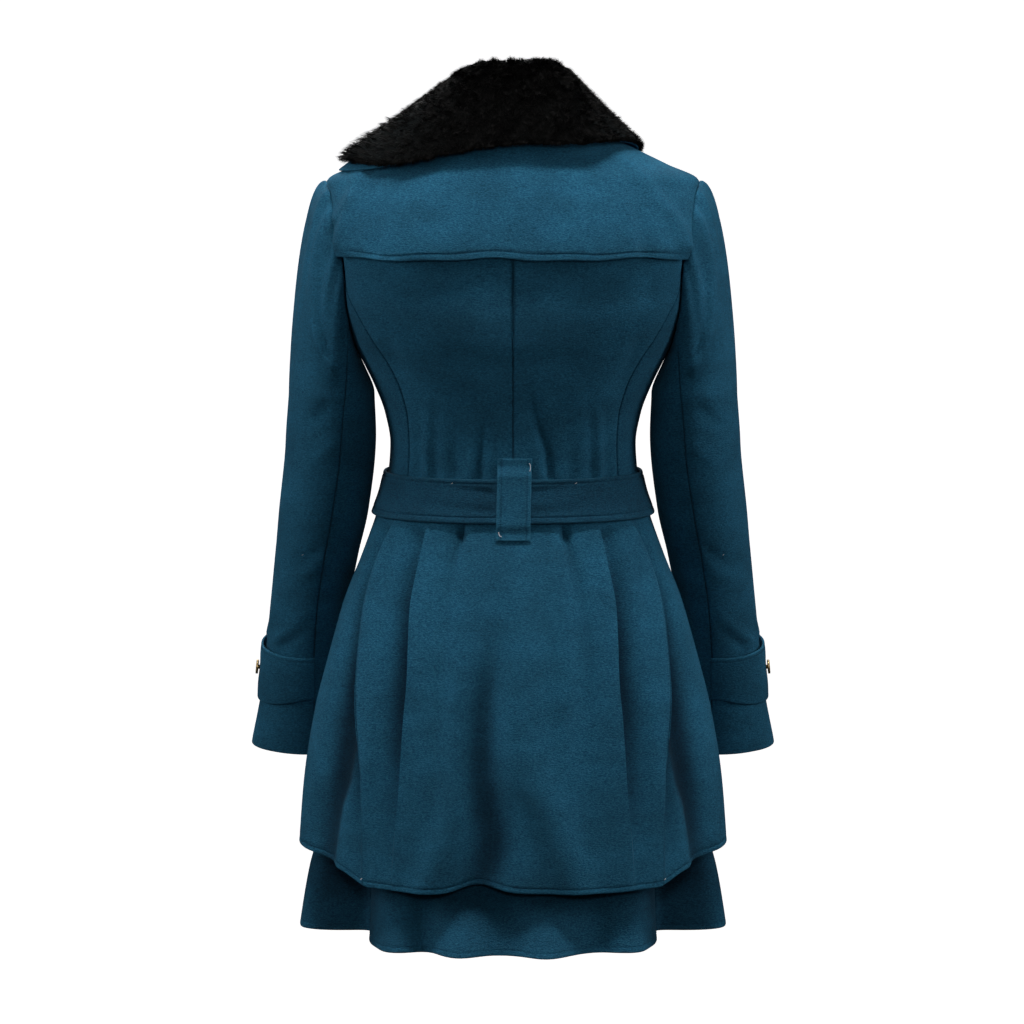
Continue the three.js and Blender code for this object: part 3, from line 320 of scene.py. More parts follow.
# Collar, from the middle of the back round to the front end: the foot of its stand as angle and height
# on the bodice, then its roll and the edge of its fall, and how far the cloth shows past the fur
COLLAR_LEFT = [
    CollarRow((0, NECK_BACK_Z), (0, 66, 90), (0, 92, 7), 0),
    CollarRow((38, 18), (30, 60, 89), (60, 88, -2), 0),
    CollarRow((66, 19), (46, 34, 78), (122, 74, -15), 0),
    CollarRow((92, 20), (54, -4, 62), (163, 15, -11), 5),
    CollarRow((138, 6), (54, -40, 46), (150, -54, -20), 0),
    CollarRow((160, -22), (48, -86, 18), (132, -108, -66), 0),
    CollarRow((171.5, -66), (34, -120, -30), (100, -140, -122), 0),
    CollarRow((177, -98), (20, -138, -82), (56, -152, -156), 0),
]
COLLAR_RIGHT = [
    COLLAR_LEFT[0],
    CollarRow((38, 18), (32, 60, 90), (60, 88, 7), 0),
    CollarRow((66, 19), (48, 34, 78), (92, 66, 9), 0),
    CollarRow((92, 20), (54, -4, 62), (124, 10, 5), 0),
    CollarRow((138, 6), (54, -40, 46), (128, -54, -12), 0),
    CollarRow((160, -22), (48, -86, 18), (126, -106, -60), 0),
    CollarRow((171.5, -66), (34, -120, -30), (98, -138, -118), 0),
    CollarRow((177, -98), (20, -138, -82), (56, -152, -156), 0),
]
COLLAR_FOOT_BACK_OFF = -CLOTH
COLLAR_FOOT_FRONT_OFF = CLOTH + 5.8
FUR_SKIN = 3.8
FUR_BACKING = 0.8

# Folds and wrinkles of the back, in the plane seen from behind: x to the wearer's left and z
BODICE_CREASES = [
    Crease([(35, -328), (32, -296), (27, -266)], -3.6, -0.2, 4.5),
    Crease([(44, -328), (41, -300), (36, -276)], 2.2, 0, 5),
    Crease([(-37, -328), (-34, -300), (-23, -266), (-12, -214)], -3.4, 0, 4.5),
    Crease([(-28, -326), (-22, -296), (-16, -272)], 1.6, 0, 5),
    Crease([(78, -330), (78, -290), (74, -240)], -2.2, 0, 5),
    Crease([(96, -330), (95, -286), (92, -248)], -1.8, 0, 4.5),
    Crease([(87, -330), (87, -288), (84, -246)], 1.6, 0, 4),
    Crease([(-79, -330), (-79, -290), (-75, -240)], -2.2, 0, 5),
    Crease([(-96, -330), (-95, -286), (-93, -250)], -1.8, 0, 4.5),
    Crease([(-87, -330), (-87, -290), (-84, -246)], 1.6, 0, 4),
    Crease([(58, -330), (58, -300), (55, -262)], -1.6, 0, 5),
    Crease([(-58, -330), (-58, -300), (-56, -262)], -1.4, 0, 5),
    Crease([(15, -326), (14, -300), (12, -270)], -1.4, 0, 4),
    Crease([(125, -195), (112, -226), (104, -262)], -2, 0, 8),
    Crease([(-125, -195), (-112, -226), (-104, -262)], -2, 0, 8),
    Crease([(150, -150), (128, -178), (100, -196)], 1.6, 0, 9),
    Crease([(-150, -150), (-128, -178), (-100, -196)], 1.6, 0, 9),
    Crease([(60, -205), (10, -214), (-45, -208)], -1.2, -0.6, 12),
]
FLAP_CREASES = [
    Crease([(-98, -2), (-130, -34), (-160, -76), (-167, -97)], 1, 2.6, 7),
    Crease([(-118, -42), (-127, -83), (-129, -104)], -0.6, -2.4, 7),
    Crease([(171, -70), (158, -50), (168, -93)], 1.6, 1.4, 6),
    Crease([(146, -20), (136, -60), (133, -100)], -0.4, -2.2, 8),
    Crease([(152, -22), (160, -58), (165, -100)], 1, 2.2, 7),
    Crease([(60, -10), (88, -46), (96, -100)], 0.4, 1.4, 14),
    Crease([(-40, -6), (-62, -50), (-66, -104)], 0.4, 1.2, 14),
    Crease([(30, -6), (22, -60), (26, -104)], 0, -1.2, 14),
    Crease([(-12, -8), (-16, -60), (-14, -104)], 0, 0.8, 12),
]
BELT_CREASES = [
    Crease([(22, -341), (46, -338), (84, -336)], -1.4, -0.2, 3),
    Crease([(-20, -340), (-44, -338), (-80, -336)], -1.3, -0.2, 3),
    Crease([(22, -352), (60, -349), (104, -346)], 0.8, 0.2, 4),
    Crease([(-20, -352), (-58, -349), (-100, -346)], 0.8, 0.2, 4),
    Crease([(24, -360), (58, -360), (96, -356)], -0.9, 0, 3),
    Crease([(-22, -361), (-56, -360), (-92, -357)], -0.9, 0, 3),
]
# The same for the wearer's left sleeve, as the angle round the arm and the height
SLEEVE_CREASES = [
    Crease([(50, -120), (44, -150), (62, -196), (92, -214)], 2.6, 3.2, 7),
    Crease([(64, -130), (60, -170), (84, -204)], -2.2, -2.8, 6),
    Crease([(18, -150), (20, -200), (30, -250)], -1.4, 0, 7),
    Crease([(84, -262), (66, -276), (40, -284)], -1.8, 0, 7),
    Crease([(92, -300), (70, -316), (44, -322)], 1.4, 0, 8),
    Crease([(90, -404), (64, -418), (30, -426)], -2.4, 0, 7),
    Crease([(92, -420), (62, -440), (24, -452)], 1.6, 0, 8),
    Crease([(40, -508), (60, -494), (88, -470)], 3, 0.6, 5),
    Crease([(56, -512), (74, -500), (90, -488)], -2.6, -0.6, 4),
    Crease([(10, -508), (22, -486), (40, -456)], 2, 0, 6),
    Crease([(-60, -380), (-40, -404), (-16, -412)], -2, 0, 8),
    Crease([(-80, -300), (-50, -330), (-20, -340)], -1.8, 0, 8),
]


def lerp(a, b, s):
    return a + (b - a) * s


def smooth(low, high, x):
    s = np.clip((np.asarray(x, float) - low) / (high - low), 0, 1)
    return s * s * (3 - 2 * s)


def unit(v):
    return v / np.maximum(np.linalg.norm(v, axis=-1, keepdims=True), 1e-9)


def stack(x, y, z):
    return np.stack(np.broadcast_arrays(x, y, z), axis=-1).astype(float)


def flipped(vector, mirror):
    return np.array(vector) * np.array([-1 if mirror else 1, 1, 1])


# A smooth curve with no overshoot through one named column of a table whose z goes down
def along(rows, column, z):
    z = np.asarray(z, float)
    heights = np.array([float(row.z) for row in rows])
    values = np.array([float(getattr(row, column)) for row in rows])
    steps = np.diff(values) / np.diff(heights)
    alike = steps[:-1] * steps[1:] > 0
    total = np.where(alike, steps[:-1] + steps[1:], 1)
    inner = np.where(alike, 2 * steps[:-1] * steps[1:] / total, 0)
    slopes = np.concatenate([steps[:1], inner, steps[-1:]])
    i = np.clip(np.searchsorted(-heights, -z, side="right") - 1, 0, len(rows) - 2)
    gap = heights[i + 1] - heights[i]
    s = np.clip((z - heights[i]) / gap, 0, 1)
    s2 = s * s
    s3 = s2 * s
    left = (2 * s3 - 3 * s2 + 1) * values[i] + (s3 - 2 * s2 + s) * slopes[i] * gap
    return left + (3 * s2 - 2 * s3) * values[i + 1] + (s3 - s2) * slopes[i + 1] * gap


def power(value, exponent):
    return np.sign(value) * np.abs(value) ** exponent


# A point of a horizontal section at angle t, round from the middle of the back
def section_point(rows, t, z):
    angle = np.radians(t)
    exponent = 2 / along(rows, "square", z)
    reach = np.where(np.cos(angle) >= 0, along(rows, "back", z), along(rows, "front", z))
    y = along(rows, "middle", z) + reach * power(np.cos(angle), exponent)
    return stack(along(rows, "side", z) * power(np.sin(angle), exponent), y, z)


def bodice(t, z):
    return section_point(BODICE, t, z)


def belt_line(t, z):
    return section_point(BELT, t, z)


def normals(surface, a, b, step_a=0.3, step_b=0.4):
    across = surface(a + step_a, b) - surface(a - step_a, b)
    up = surface(a, b + step_b) - surface(a, b - step_b)
    return unit(np.cross(up, across))


# Level near the waist, so that the bodice and the skirts meet squarely there
def wall_normals(surface, a, b):
    n = normals(surface, a, b)
    n[..., 2] *= smooth(WAIST_Z, WAIST_Z + 30, b)
    return unit(n)


def bell(offset, inner, outer):
    u = offset / np.where(offset < 0, inner, outer)
    return np.where(np.abs(u) < 1, np.cos(np.clip(u, -1, 1) * np.pi / 2) ** 2, 0)


# A pleat's edge: it rises towards the back, drops quickly, then a hollow fills again
PLEAT_RISE = 0.5
PLEAT_HOLLOW = 1.1


def pleat_edge(offset, inner, outer):
    before = PLEAT_RISE * bell(offset, inner, inner)
    falling = lerp(PLEAT_RISE, -PLEAT_HOLLOW, offset / PLEAT_DROP)
    after = -PLEAT_HOLLOW * bell(offset - PLEAT_DROP, outer, outer)
    return np.where(offset <= 0, before, np.where(offset < PLEAT_DROP, falling, after))


def turn(angle):
    return (np.asarray(angle, float) + 180) % 360 - 180


def fold_heights(folds, angle, z):
    height = 0
    for f in folds:
        offset = turn(angle - along(f.rows, "angle", z))
        height = height + along(f.rows, "height", z) * bell(offset, f.inner, f.outer)
    return height


def pleat_heights(angle, z):
    height = 0
    for side in (1, -1):
        for rows, widths in ((SEAM_PLEAT, SEAM_PLEAT_WIDTHS), (INNER_PLEAT, INNER_PLEAT_WIDTHS)):
            offset = turn(angle) * side - along(rows, "angle", z)
            height = height + along(rows, "height", z) * pleat_edge(offset, *widths)
        for rows in FRONT_PLEATS:
            offset = along(rows, "angle", z) - turn(angle) * side
            height = height + along(rows, "height", z) * pleat_edge(offset, *FRONT_PLEAT_WIDTHS)
    return height


def folded(rows, t, z, height):
    out = normals(lambda a, b: section_point(rows, a, b), t, z)
    out[..., 2] = 0
    return section_point(rows, t, z) + unit(out) * np.asarray(height)[..., None]


def overskirt_height(t, z):
    down = -np.asarray(z, float)
    pleats = smooth(-PLEATS_FROM_Z, -PLEATS_FULL_Z, down) * pleat_heights(t, z)
    return pleats + smooth(-FOLDS_FROM_Z, -FOLDS_FULL_Z, down) * fold_heights(SOFT_FOLDS, t, z)


def overskirt(t, z):
    return folded(OVERSKIRT, t, z, overskirt_height(t, z))


# Painted shade, darkening the wool's colour by how far a fold goes in and, on the underskirt, by how near the
# overskirt's hem is: it stands for the shadow in folds and under the overskirt
def overskirt_painted_shade(t, z):
    return smooth(1, 15, -overskirt_height(t, z))


def underskirt(t, z):
    return folded(UNDERSKIRT, t, z, fold_heights(UNDER_FOLDS, t, z))


def underskirt_painted_shade(t, z):
    # Painted shade: a base over the whole underskirt, more under the overskirt's hem and in its folds
    painted_overskirt_shadow = 0.35 * smooth(-780, -735, z)
    painted_fold_shade = 0.35 * smooth(2, 16, -fold_heights(UNDER_FOLDS, t, z))
    return 0.25 + painted_overskirt_shadow + painted_fold_shade


# How far each point of a plane stands out for a list of creases
def relief(creases, x, z):
    total = np.zeros(np.broadcast(x, z).shape)
    for crease in creases:
        points = np.array(crease.points, float)
        lengths = np.linalg.norm(np.diff(points, axis=0), axis=1)
        reached = np.concatenate([[0], np.cumsum(lengths)]) / lengths.sum()
        nearest = np.full(total.shape, 1e9)
        share = np.zeros(total.shape)
        for (x0, z0), (x1, z1), s0, s1 in zip(points[:-1], points[1:], reached[:-1], reached[1:]):
            dx, dz = x1 - x0, z1 - z0
            s = np.clip(((x - x0) * dx + (z - z0) * dz) / (dx * dx + dz * dz), 0, 1)
            distance = np.hypot(x - x0 - s * dx, z - z0 - s * dz)
            closer = distance < nearest
            nearest = np.where(closer, distance, nearest)
            share = np.where(closer, lerp(s0, s1, s), share)
        total += lerp(crease.start, crease.end, share) * np.exp(-((nearest / crease.width) ** 2))
    return total


# Distances from an edge, and from a row of stitches, at which the lines of a cloth's mesh are closer
ROLL_STEPS = (0, 0.35, 0.8, 1.4, 2.4)
STITCH_STEPS = np.array([-1.5, -0.8, -0.35, 0.35, 0.8, 1.5])
STITCH_CLEAR = 2


def spread(length, step, low=True, high=True, stitches=()):
    """Places from 0 to 1 along a length, closer together at its rolled edges and its stitches."""
    starts = list(ROLL_STEPS) if low else [0]
    ends = [length - s for s in reversed(ROLL_STEPS)] if high else [length]
    middle = np.linspace(starts[-1], ends[0], max(2, round((ends[0] - starts[-1]) / step) + 1))[1:-1]
    for place in stitches:
        middle = middle[np.abs(middle - place) > STITCH_CLEAR]
        middle = np.concatenate([middle, place + STITCH_STEPS])
    return np.concatenate([starts, np.sort(middle), ends]) / length


def knotted(knots, z, step):
    """Angles across a skirt panel: each knot is a line's angle at z and the length up to the next knot."""
    columns = []
    for k, (line, length) in enumerate(knots[:-1]):
        u = spread(length, step, low=k == 0, high=k == len(knots) - 2)
        here, there = line(z), knots[k + 1][0](z)
        piece = lerp(here[:, None], there[:, None], u[None, :])
        columns.append(piece if k == 0 else piece[:, 1:])
    return np.concatenate(columns, axis=1)


SHARP_ANGLE = 52


def new_object(name, mesh, material):
    obj = bpy.data.objects.new(name, mesh)
    bpy.context.scene.collection.objects.link(obj)
    mesh.materials.append(material)
    mesh.polygons.foreach_set("use_smooth", [True] * len(mesh.polygons))
    mesh.set_sharp_from_angle(angle=math.radians(SHARP_ANGLE))
    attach(obj, "root")
    return obj


def edge_distances(points):
    across = np.linalg.norm(np.diff(points, axis=1), axis=2)
    up = np.linalg.norm(np.diff(points, axis=0), axis=2)
    left = np.concatenate([np.zeros((points.shape[0], 1)), np.cumsum(across, axis=1)], axis=1)
    low = np.concatenate([np.zeros((1, points.shape[1])), np.cumsum(up, axis=0)], axis=0)
    return {"left": left, "right": left[:, -1:] - left, "low": low, "high": low[-1:] - low}


# How far a rounded edge falls back, at a distance from it
def rounding(distance, radius):
    near = 1 - np.minimum(distance / radius, 1)
    return radius * (1 - np.sqrt(np.maximum(1 - near * near, 0)))


STITCH_WIDTH = 0.9
SEAM_ROLL = 1.8
# How far a hem's outer and inner edges are rounded, as shares of the cloth's thickness
HEM_ROLL_OUT = 0.55
HEM_ROLL_IN = 0.4
# Painted shade in a seam and in a row of stitches, where their grooves lie in shadow, and how far a seam's
# painted shade reaches
SEAM_PAINTED_SHADE = 0.5
SEAM_PAINTED_SHADE_REACH = 0.9
STITCH_PAINTED_SHADE = 0.7
# How far a hem's worn light reaches, and the distance that stands for having no hem
RIM_REACH = 1.6
NO_RIM = 99


# deep is painted shade that darkens the wool's colour; seams and rows of stitches add painted shade along
# their grooves
def cloth(name, points, outward, thick=CLOTH, seams=(), hems=(), stitched=(), raised=0, deep=0, mirror=False):
    """A closed thin wall of cloth. Its seams' edges are rolled in on the outside and its hems' all round."""
    away = edge_distances(points)
    outer = np.zeros(points.shape[:2]) + raised
    inner = outer - thick
    for side in seams:
        outer = outer - rounding(away[side], SEAM_ROLL)
        # Painted shade along the seam's groove
        deep = np.maximum(deep, SEAM_PAINTED_SHADE * np.exp(-away[side] / SEAM_PAINTED_SHADE_REACH))
    for side in hems:
        outer = outer - rounding(away[side], thick * HEM_ROLL_OUT)
        inner = inner + rounding(away[side], thick * HEM_ROLL_IN)
    for side, distance, depth in stitched:
        groove = np.exp(-(((away[side] - distance) / STITCH_WIDTH) ** 2))
        outer = outer - depth * groove
        # Painted shade in the stitches' groove
        deep = np.maximum(deep, STITCH_PAINTED_SHADE * depth * groove)
    rim = np.min([away[side] for side in hems], axis=0) if hems else outer * 0 + NO_RIM
    faces_out = points + outward * outer[..., None]
    faces_in = points + outward * inner[..., None]
    deep = deep + 0 * outer
    if mirror:
        faces_out, faces_in, rim, deep = [a[:, ::-1] for a in (faces_out, faces_in, rim, deep)]
        faces_out, faces_in = flipped(faces_out, True), flipped(faces_in, True)
    return wall(name, faces_out, faces_in, wool, rim, deep=deep)


def mark(mesh, name, values):
    """Writes one number a point, for the materials."""
    made = mesh.attributes.new(name, "FLOAT", "POINT")
    made.data.foreach_set("value", np.asarray(values).ravel().astype(np.float32))


def wall(name, faces_out, faces_in, material, rim, deep=None):
    """Joins an outer and an inner grid of points into a closed wall."""
    rows, columns = faces_out.shape[:2]
    half = rows * columns
    points = np.concatenate([faces_out.reshape(-1, 3), faces_in.reshape(-1, 3)]) * MM
    index = np.arange(half).reshape(rows, columns)
    a, b = index[:-1, :-1].ravel(), index[1:, :-1].ravel()
    c, d = index[:-1, 1:].ravel(), index[1:, 1:].ravel()
    quads = [np.stack([a, b, d, c], 1), np.stack([a, c, d, b], 1) + half]
    border = np.concatenate([index[:, 0], index[-1, 1:], index[-2::-1, -1], index[0, -2:0:-1]])
    after = np.roll(border, -1)
    quads.append(np.stack([after, border, border + half, after + half], 1))
    quads = np.concatenate(quads)
    mesh = bpy.data.meshes.new(name)
    mesh.from_pydata(points.tolist(), [], quads.tolist())
    near = np.exp(-rim.ravel() / RIM_REACH)
    mark(mesh, "rim", np.concatenate([near, near]))
    # The deep attribute is painted shade, read by the wool's material to darken its colour
    if deep is not None:
        mark(mesh, "deep", np.concatenate([deep.ravel(), deep.ravel()]))
    return new_object(name, mesh, material)


# Materials
def node(tree, kind, **settings):
    made = tree.nodes.new(kind)
    for key, value in settings.items():
        setattr(made, key, value)
    return made


def noise(tree, coordinates, scale, detail=4, roughness=0.6):
    made = node(tree, "ShaderNodeTexNoise")
    made.inputs["Scale"].default_value = scale
    made.inputs["Detail"].default_value = detail
    made.inputs["Roughness"].default_value = roughness
    tree.links.new(coordinates, made.inputs["Vector"])
    return made.outputs["Fac"]


def stretched(tree, scale):
    place = node(tree, "ShaderNodeTexCoord")
    made = node(tree, "ShaderNodeMapping")
    made.inputs["Scale"].default_value = scale
    tree.links.new(place.outputs["Object"], made.inputs["Vector"])
    return made.outputs["Vector"]


def arithmetic(tree, operation, first, second):
    made = node(tree, "ShaderNodeMath", operation=operation)
    for k, value in enumerate((first, second)):
        if hasattr(value, "links"):
            tree.links.new(value, made.inputs[k])
        else:
            made.inputs[k].default_value = value
    return made.outputs[0]


def ranged(tree, value, low, high, to_low, to_high):
    made = node(tree, "ShaderNodeMapRange")
    for k, number in enumerate((low, high, to_low, to_high)):
        made.inputs[k + 1].default_value = number
    tree.links.new(value, made.inputs[0])
    return made.outputs[0]


def blended(tree, fac, first, second, blend="MIX"):
    made = node(tree, "ShaderNodeMix", data_type="RGBA", blend_type=blend)
    for socket, value in ((made.inputs[0], fac), (made.inputs[6], first), (made.inputs[7], second)):
        if hasattr(value, "links"):
            tree.links.new(value, socket)
        else:
            socket.default_value = value
    return made.outputs[2]


# Painted shade: the colour is multiplied by this tint in folds, seams, stitches and shaded panels
PAINTED_SHADE_TINT = (0.2, 0.22, 0.25, 1)
# How many of each kind of mark lie along a metre of the wool
CLUMP_SCALE = 430
HAIR_SCALE = 1300
DRIFT_SCALE = 22
STREAK_SCALE = 330


def felted_nap():
    """Brushed wool: matted fibres in clumps and streaks across the cloth, with a light fuzz on worn edges."""
    tree = bpy.data.node_groups.new("felted nap", "ShaderNodeTree")
    for name, kind, value in (
        ("Colour", "NodeSocketColor", (0.02, 0.1, 0.15, 1)),
        ("Light fibre", "NodeSocketColor", (0.04, 0.16, 0.22, 1)),
        ("Dark fibre", "NodeSocketColor", (0.006, 0.03, 0.05, 1)),
        ("Nap depth", "NodeSocketFloat", 0.0004),
        ("Rim", "NodeSocketFloat", 0),
        ("Deep", "NodeSocketFloat", 0),
    ):
        socket = tree.interface.new_socket(name, in_out="INPUT", socket_type=kind)
        socket.default_value = value
    for name, kind in (
        ("Colour", "NodeSocketColor"),
        ("Roughness", "NodeSocketFloat"),
        ("Normal", "NodeSocketVector"),
    ):
        tree.interface.new_socket(name, in_out="OUTPUT", socket_type=kind)
    given = node(tree, "NodeGroupInput")
    result = node(tree, "NodeGroupOutput")
    clumps = noise(tree, stretched(tree, (1, 1, 2.4)), CLUMP_SCALE, 5, 0.62)
    hairs = noise(tree, stretched(tree, (1, 1, 2.6)), HAIR_SCALE, 3, 0.7)
    drift = noise(tree, stretched(tree, (1, 1, 1.6)), DRIFT_SCALE, 3, 0.5)
    streaks = noise(tree, stretched(tree, (0.4, 0.4, 3.4)), STREAK_SCALE, 3, 0.6)
    lights = ranged(tree, arithmetic(tree, "ADD", clumps, hairs), 0.9, 1.24, 0, 0.8)
    darks = ranged(tree, arithmetic(tree, "ADD", clumps, streaks), 1.0, 0.66, 0, 0.5)
    colour = blended(tree, lights, given.outputs["Colour"], given.outputs["Light fibre"])
    colour = blended(tree, darks, colour, given.outputs["Dark fibre"])
    tone = ranged(tree, drift, 0.34, 0.66, 0.86, 1.12)
    shade = node(tree, "ShaderNodeCombineColor")
    for k in range(3):
        tree.links.new(tone, shade.inputs[k])
    colour = blended(tree, 1.0, colour, shade.outputs[0], "MULTIPLY")
    fuzz = arithmetic(tree, "MULTIPLY", given.outputs["Rim"], ranged(tree, hairs, 0.35, 0.7, 0.1, 0.55))
    colour = blended(tree, fuzz, colour, given.outputs["Light fibre"])
    # Painted shade: the colour is darkened towards the tint by the shade input
    colour = blended(tree, given.outputs["Deep"], colour, PAINTED_SHADE_TINT, "MULTIPLY")
    rough = ranged(tree, clumps, 0.3, 0.7, 0.82, 0.98)
    height = arithmetic(tree, "ADD", clumps, arithmetic(tree, "MULTIPLY", hairs, 0.55))
    height = arithmetic(tree, "ADD", height, arithmetic(tree, "MULTIPLY", streaks, 0.5))
    bump = node(tree, "ShaderNodeBump")
    bump.inputs["Strength"].default_value = 1
    tree.links.new(given.outputs["Nap depth"], bump.inputs["Distance"])
    tree.links.new(height, bump.inputs["Height"])
    tree.links.new(colour, result.inputs["Colour"])
    tree.links.new(rough, result.inputs["Roughness"])
    tree.links.new(bump.outputs["Normal"], result.inputs["Normal"])
    return tree


NAP = felted_nap()


def new_material(name):
    made = bpy.data.materials.new(name)
    made.use_nodes = True
    tree = made.node_tree
    return made, tree, tree.nodes["Principled BSDF"]


def attribute(tree, name):
    made = node(tree, "ShaderNodeAttribute", attribute_name=name)
    return made.outputs["Fac"]


def wool_material(name, colour, light, dark, depth):
    made, tree, shader = new_material(name)
    nap = node(tree, "ShaderNodeGroup", node_tree=NAP)
    nap.inputs["Colour"].default_value = (*colour, 1)
    nap.inputs["Light fibre"].default_value = (*light, 1)
    nap.inputs["Dark fibre"].default_value = (*dark, 1)
    nap.inputs["Nap depth"].default_value = depth
    tree.links.new(attribute(tree, "rim"), nap.inputs["Rim"])
    # Painted shade from the deep attribute
    tree.links.new(attribute(tree, "deep"), nap.inputs["Deep"])
    tree.links.new(nap.outputs["Colour"], shader.inputs["Base Color"])
    tree.links.new(nap.outputs["Roughness"], shader.inputs["Roughness"])
    tree.links.new(nap.outputs["Normal"], shader.inputs["Normal"])
    shader.inputs["Specular IOR Level"].default_value = 0.12
    shader.inputs["Sheen Weight"].default_value = 0.03
    shader.inputs["Sheen Roughness"].default_value = 0.55
    shader.inputs["Sheen Tint"].default_value = (0.35, 0.72, 0.85, 1)
    return made


def fur_material(name, root, tip):
    made, tree, shader = new_material(name)
    along_hair = attribute(tree, "along")
    own = attribute(tree, "own")
    towards_tip = ranged(tree, along_hair, 0.3, 1, 0, 1)
    # Grey tips: partly each hair's own random tone, partly a painted glint that grows towards the fall's
    # edge, both carried in the own attribute
    grey_tip_and_glint = arithmetic(tree, "MULTIPLY", towards_tip, ranged(tree, own, 0.45, 1, 0, 1))
    patches = noise(tree, stretched(tree, (1, 1, 1)), 60, 3, 0.6)
    grey_tip_and_glint = arithmetic(tree, "MULTIPLY", grey_tip_and_glint, ranged(tree, patches, 0.35, 0.7, 0.25, 1))
    colour = blended(tree, grey_tip_and_glint, (*root, 1), (*tip, 1))
    tree.links.new(colour, shader.inputs["Base Color"])
    tree.links.new(ranged(tree, own, 0, 1, 0.42, 0.66), shader.inputs["Roughness"])
    shader.inputs["Specular IOR Level"].default_value = 0.07
    return made


def brass_material():
    made, tree, shader = new_material("antique brass")
    wear = noise(tree, stretched(tree, (1, 1, 1)), 420, 4, 0.6)
    cloudy = noise(tree, stretched(tree, (1, 1, 1)), 90, 3, 0.5)
    bright = attribute(tree, "bright")
    worn = arithmetic(tree, "MULTIPLY", bright, ranged(tree, wear, 0.25, 0.55, 0.5, 1))
    base = blended(tree, cloudy, (0.12, 0.075, 0.03, 1), (0.2, 0.13, 0.05, 1))
    colour = blended(tree, worn, base, (0.72, 0.52, 0.26, 1))
    tree.links.new(colour, shader.inputs["Base Color"])
    tree.links.new(ranged(tree, wear, 0.3, 0.7, 0.26, 0.5), shader.inputs["Roughness"])
    shader.inputs["Metallic"].default_value = 1
    bump = node(tree, "ShaderNodeBump")
    bump.inputs["Distance"].default_value = 0.00012
    bump.inputs["Strength"].default_value = 0.6
    tree.links.new(wear, bump.inputs["Height"])
    tree.links.new(bump.outputs["Normal"], shader.inputs["Normal"])
    return made


def thread_material():
    made, tree, shader = new_material("white tacking thread")
    twist = noise(tree, stretched(tree, (1, 1, 1)), 2600, 2, 0.5)
    colour = blended(tree, twist, (0.42, 0.47, 0.5, 1), (0.85, 0.88, 0.9, 1))
    tree.links.new(colour, shader.inputs["Base Color"])
    shader.inputs["Roughness"].default_value = 0.8
    return made


wool = wool_material(
    "peacock blue wool",
    colour=(0.0085, 0.075, 0.146),
    light=(0.034, 0.185, 0.3),
    dark=(0.002, 0.022, 0.045),
    depth=0.001,
)
fur_skin = wool_material(
    "black fur backing",
    colour=(0.0015, 0.0015, 0.0015),
    light=(0.004, 0.004, 0.004),
    dark=(0.001, 0.001, 0.001),
    depth=0.0005,
)
fur_hair = fur_material("black fur", root=(0.0005, 0.0005, 0.0005), tip=(0.013, 0.0125, 0.012))
brass = brass_material()
thread = thread_material()


# Bodice
def angle_across(rows, x, z):
    """The angle from the middle of the back of a section's point at x to the side."""
    share = np.abs(x) / along(rows, "side", z)
    return np.degrees(np.arcsin(share ** (along(rows, "square", z) / 2))) * np.sign(x)


def angle_at_depth(y, z):
    square = along(BODICE, "square", z)
    reach = np.where(y >= 0, along(BODICE, "back", z), along(BODICE, "front", z))
    quarter = np.degrees(np.arccos(np.clip(np.abs(y) / reach, 0, 1) ** (square / 2)))
    return np.where(y >= 0, quarter, 180 - quarter)


# The armhole's edge on the bodice: 0 at the shoulder, 90 at the back
def armhole(round_angle, inset=0):
    a = np.radians(round_angle)
    y = ARMHOLE.y + (ARMHOLE.half_depth - inset) * np.sin(a)
    z = ARMHOLE.z + (ARMHOLE.half_height - inset) * np.cos(a)
    return angle_at_depth(y, z), z


def armhole_at_height(z, backwards):
    share = np.clip((np.asarray(z, float) - ARMHOLE.z) / ARMHOLE.half_height, -1, 1)
    return armhole((1 if backwards else -1) * np.degrees(np.arccos(share)))[0]


def panel_side(z, backwards):
    z = np.asarray(z, float)
    foot = along(BACK_PRINCESS if backwards else FRONT_PRINCESS, "angle", z)
    foot = foot if backwards else 180 - foot
    meet = armhole_at_height(SEAM_AT_ARMHOLE_Z, backwards)
    low = lerp(foot, meet, smooth(SEAM_AT_ARMHOLE_Z - PRINCESS_BLEND, SEAM_AT_ARMHOLE_Z, z))
    return np.where(z > SEAM_AT_ARMHOLE_Z, armhole_at_height(z, backwards), low)


# Half a princess seam's gap, as an angle at the body's usual reach
BODY_REACH = 110
SEAM_ANGLE = math.degrees(HALF_GAP / BODY_REACH)
PRINCESS_BLEND = 30
# Usual widths and lengths of the panels' meshes, and the steps between their lines
BACK_WIDTH = 130
LOWER_BACK = 245
UPPER_BACK = 150
SIDE_WIDTH = 62
SIDE_LENGTH = 219
FRONT_WIDTH = 180
LOWER_FRONT = 237
UPPER_FRONT = 130
ACROSS_STEP = 3.4
UP_STEP = 3.8
BACK_ACROSS_STEP = 3.2
BACK_UP_STEP = 3.6


# The angle at half a seam's gap from the middle of the back, and from the side
def beside_middle(z):
    return angle_across(BODICE, HALF_GAP, z)


def beside_side(z, backwards):
    return angle_at_depth(HALF_GAP if backwards else -HALF_GAP, z)


def back_top(u):
    neck = u <= 0.5
    z = np.where(neck, lerp(NECK_BACK_Z, NECK_SIDE_Z, u * 2), lerp(NECK_SIDE_Z, SHOULDER_Z, u * 2 - 1))
    t = np.where(neck, lerp(beside_middle(z), beside_side(z, True), u * 2), beside_side(z, True))
    return t, z


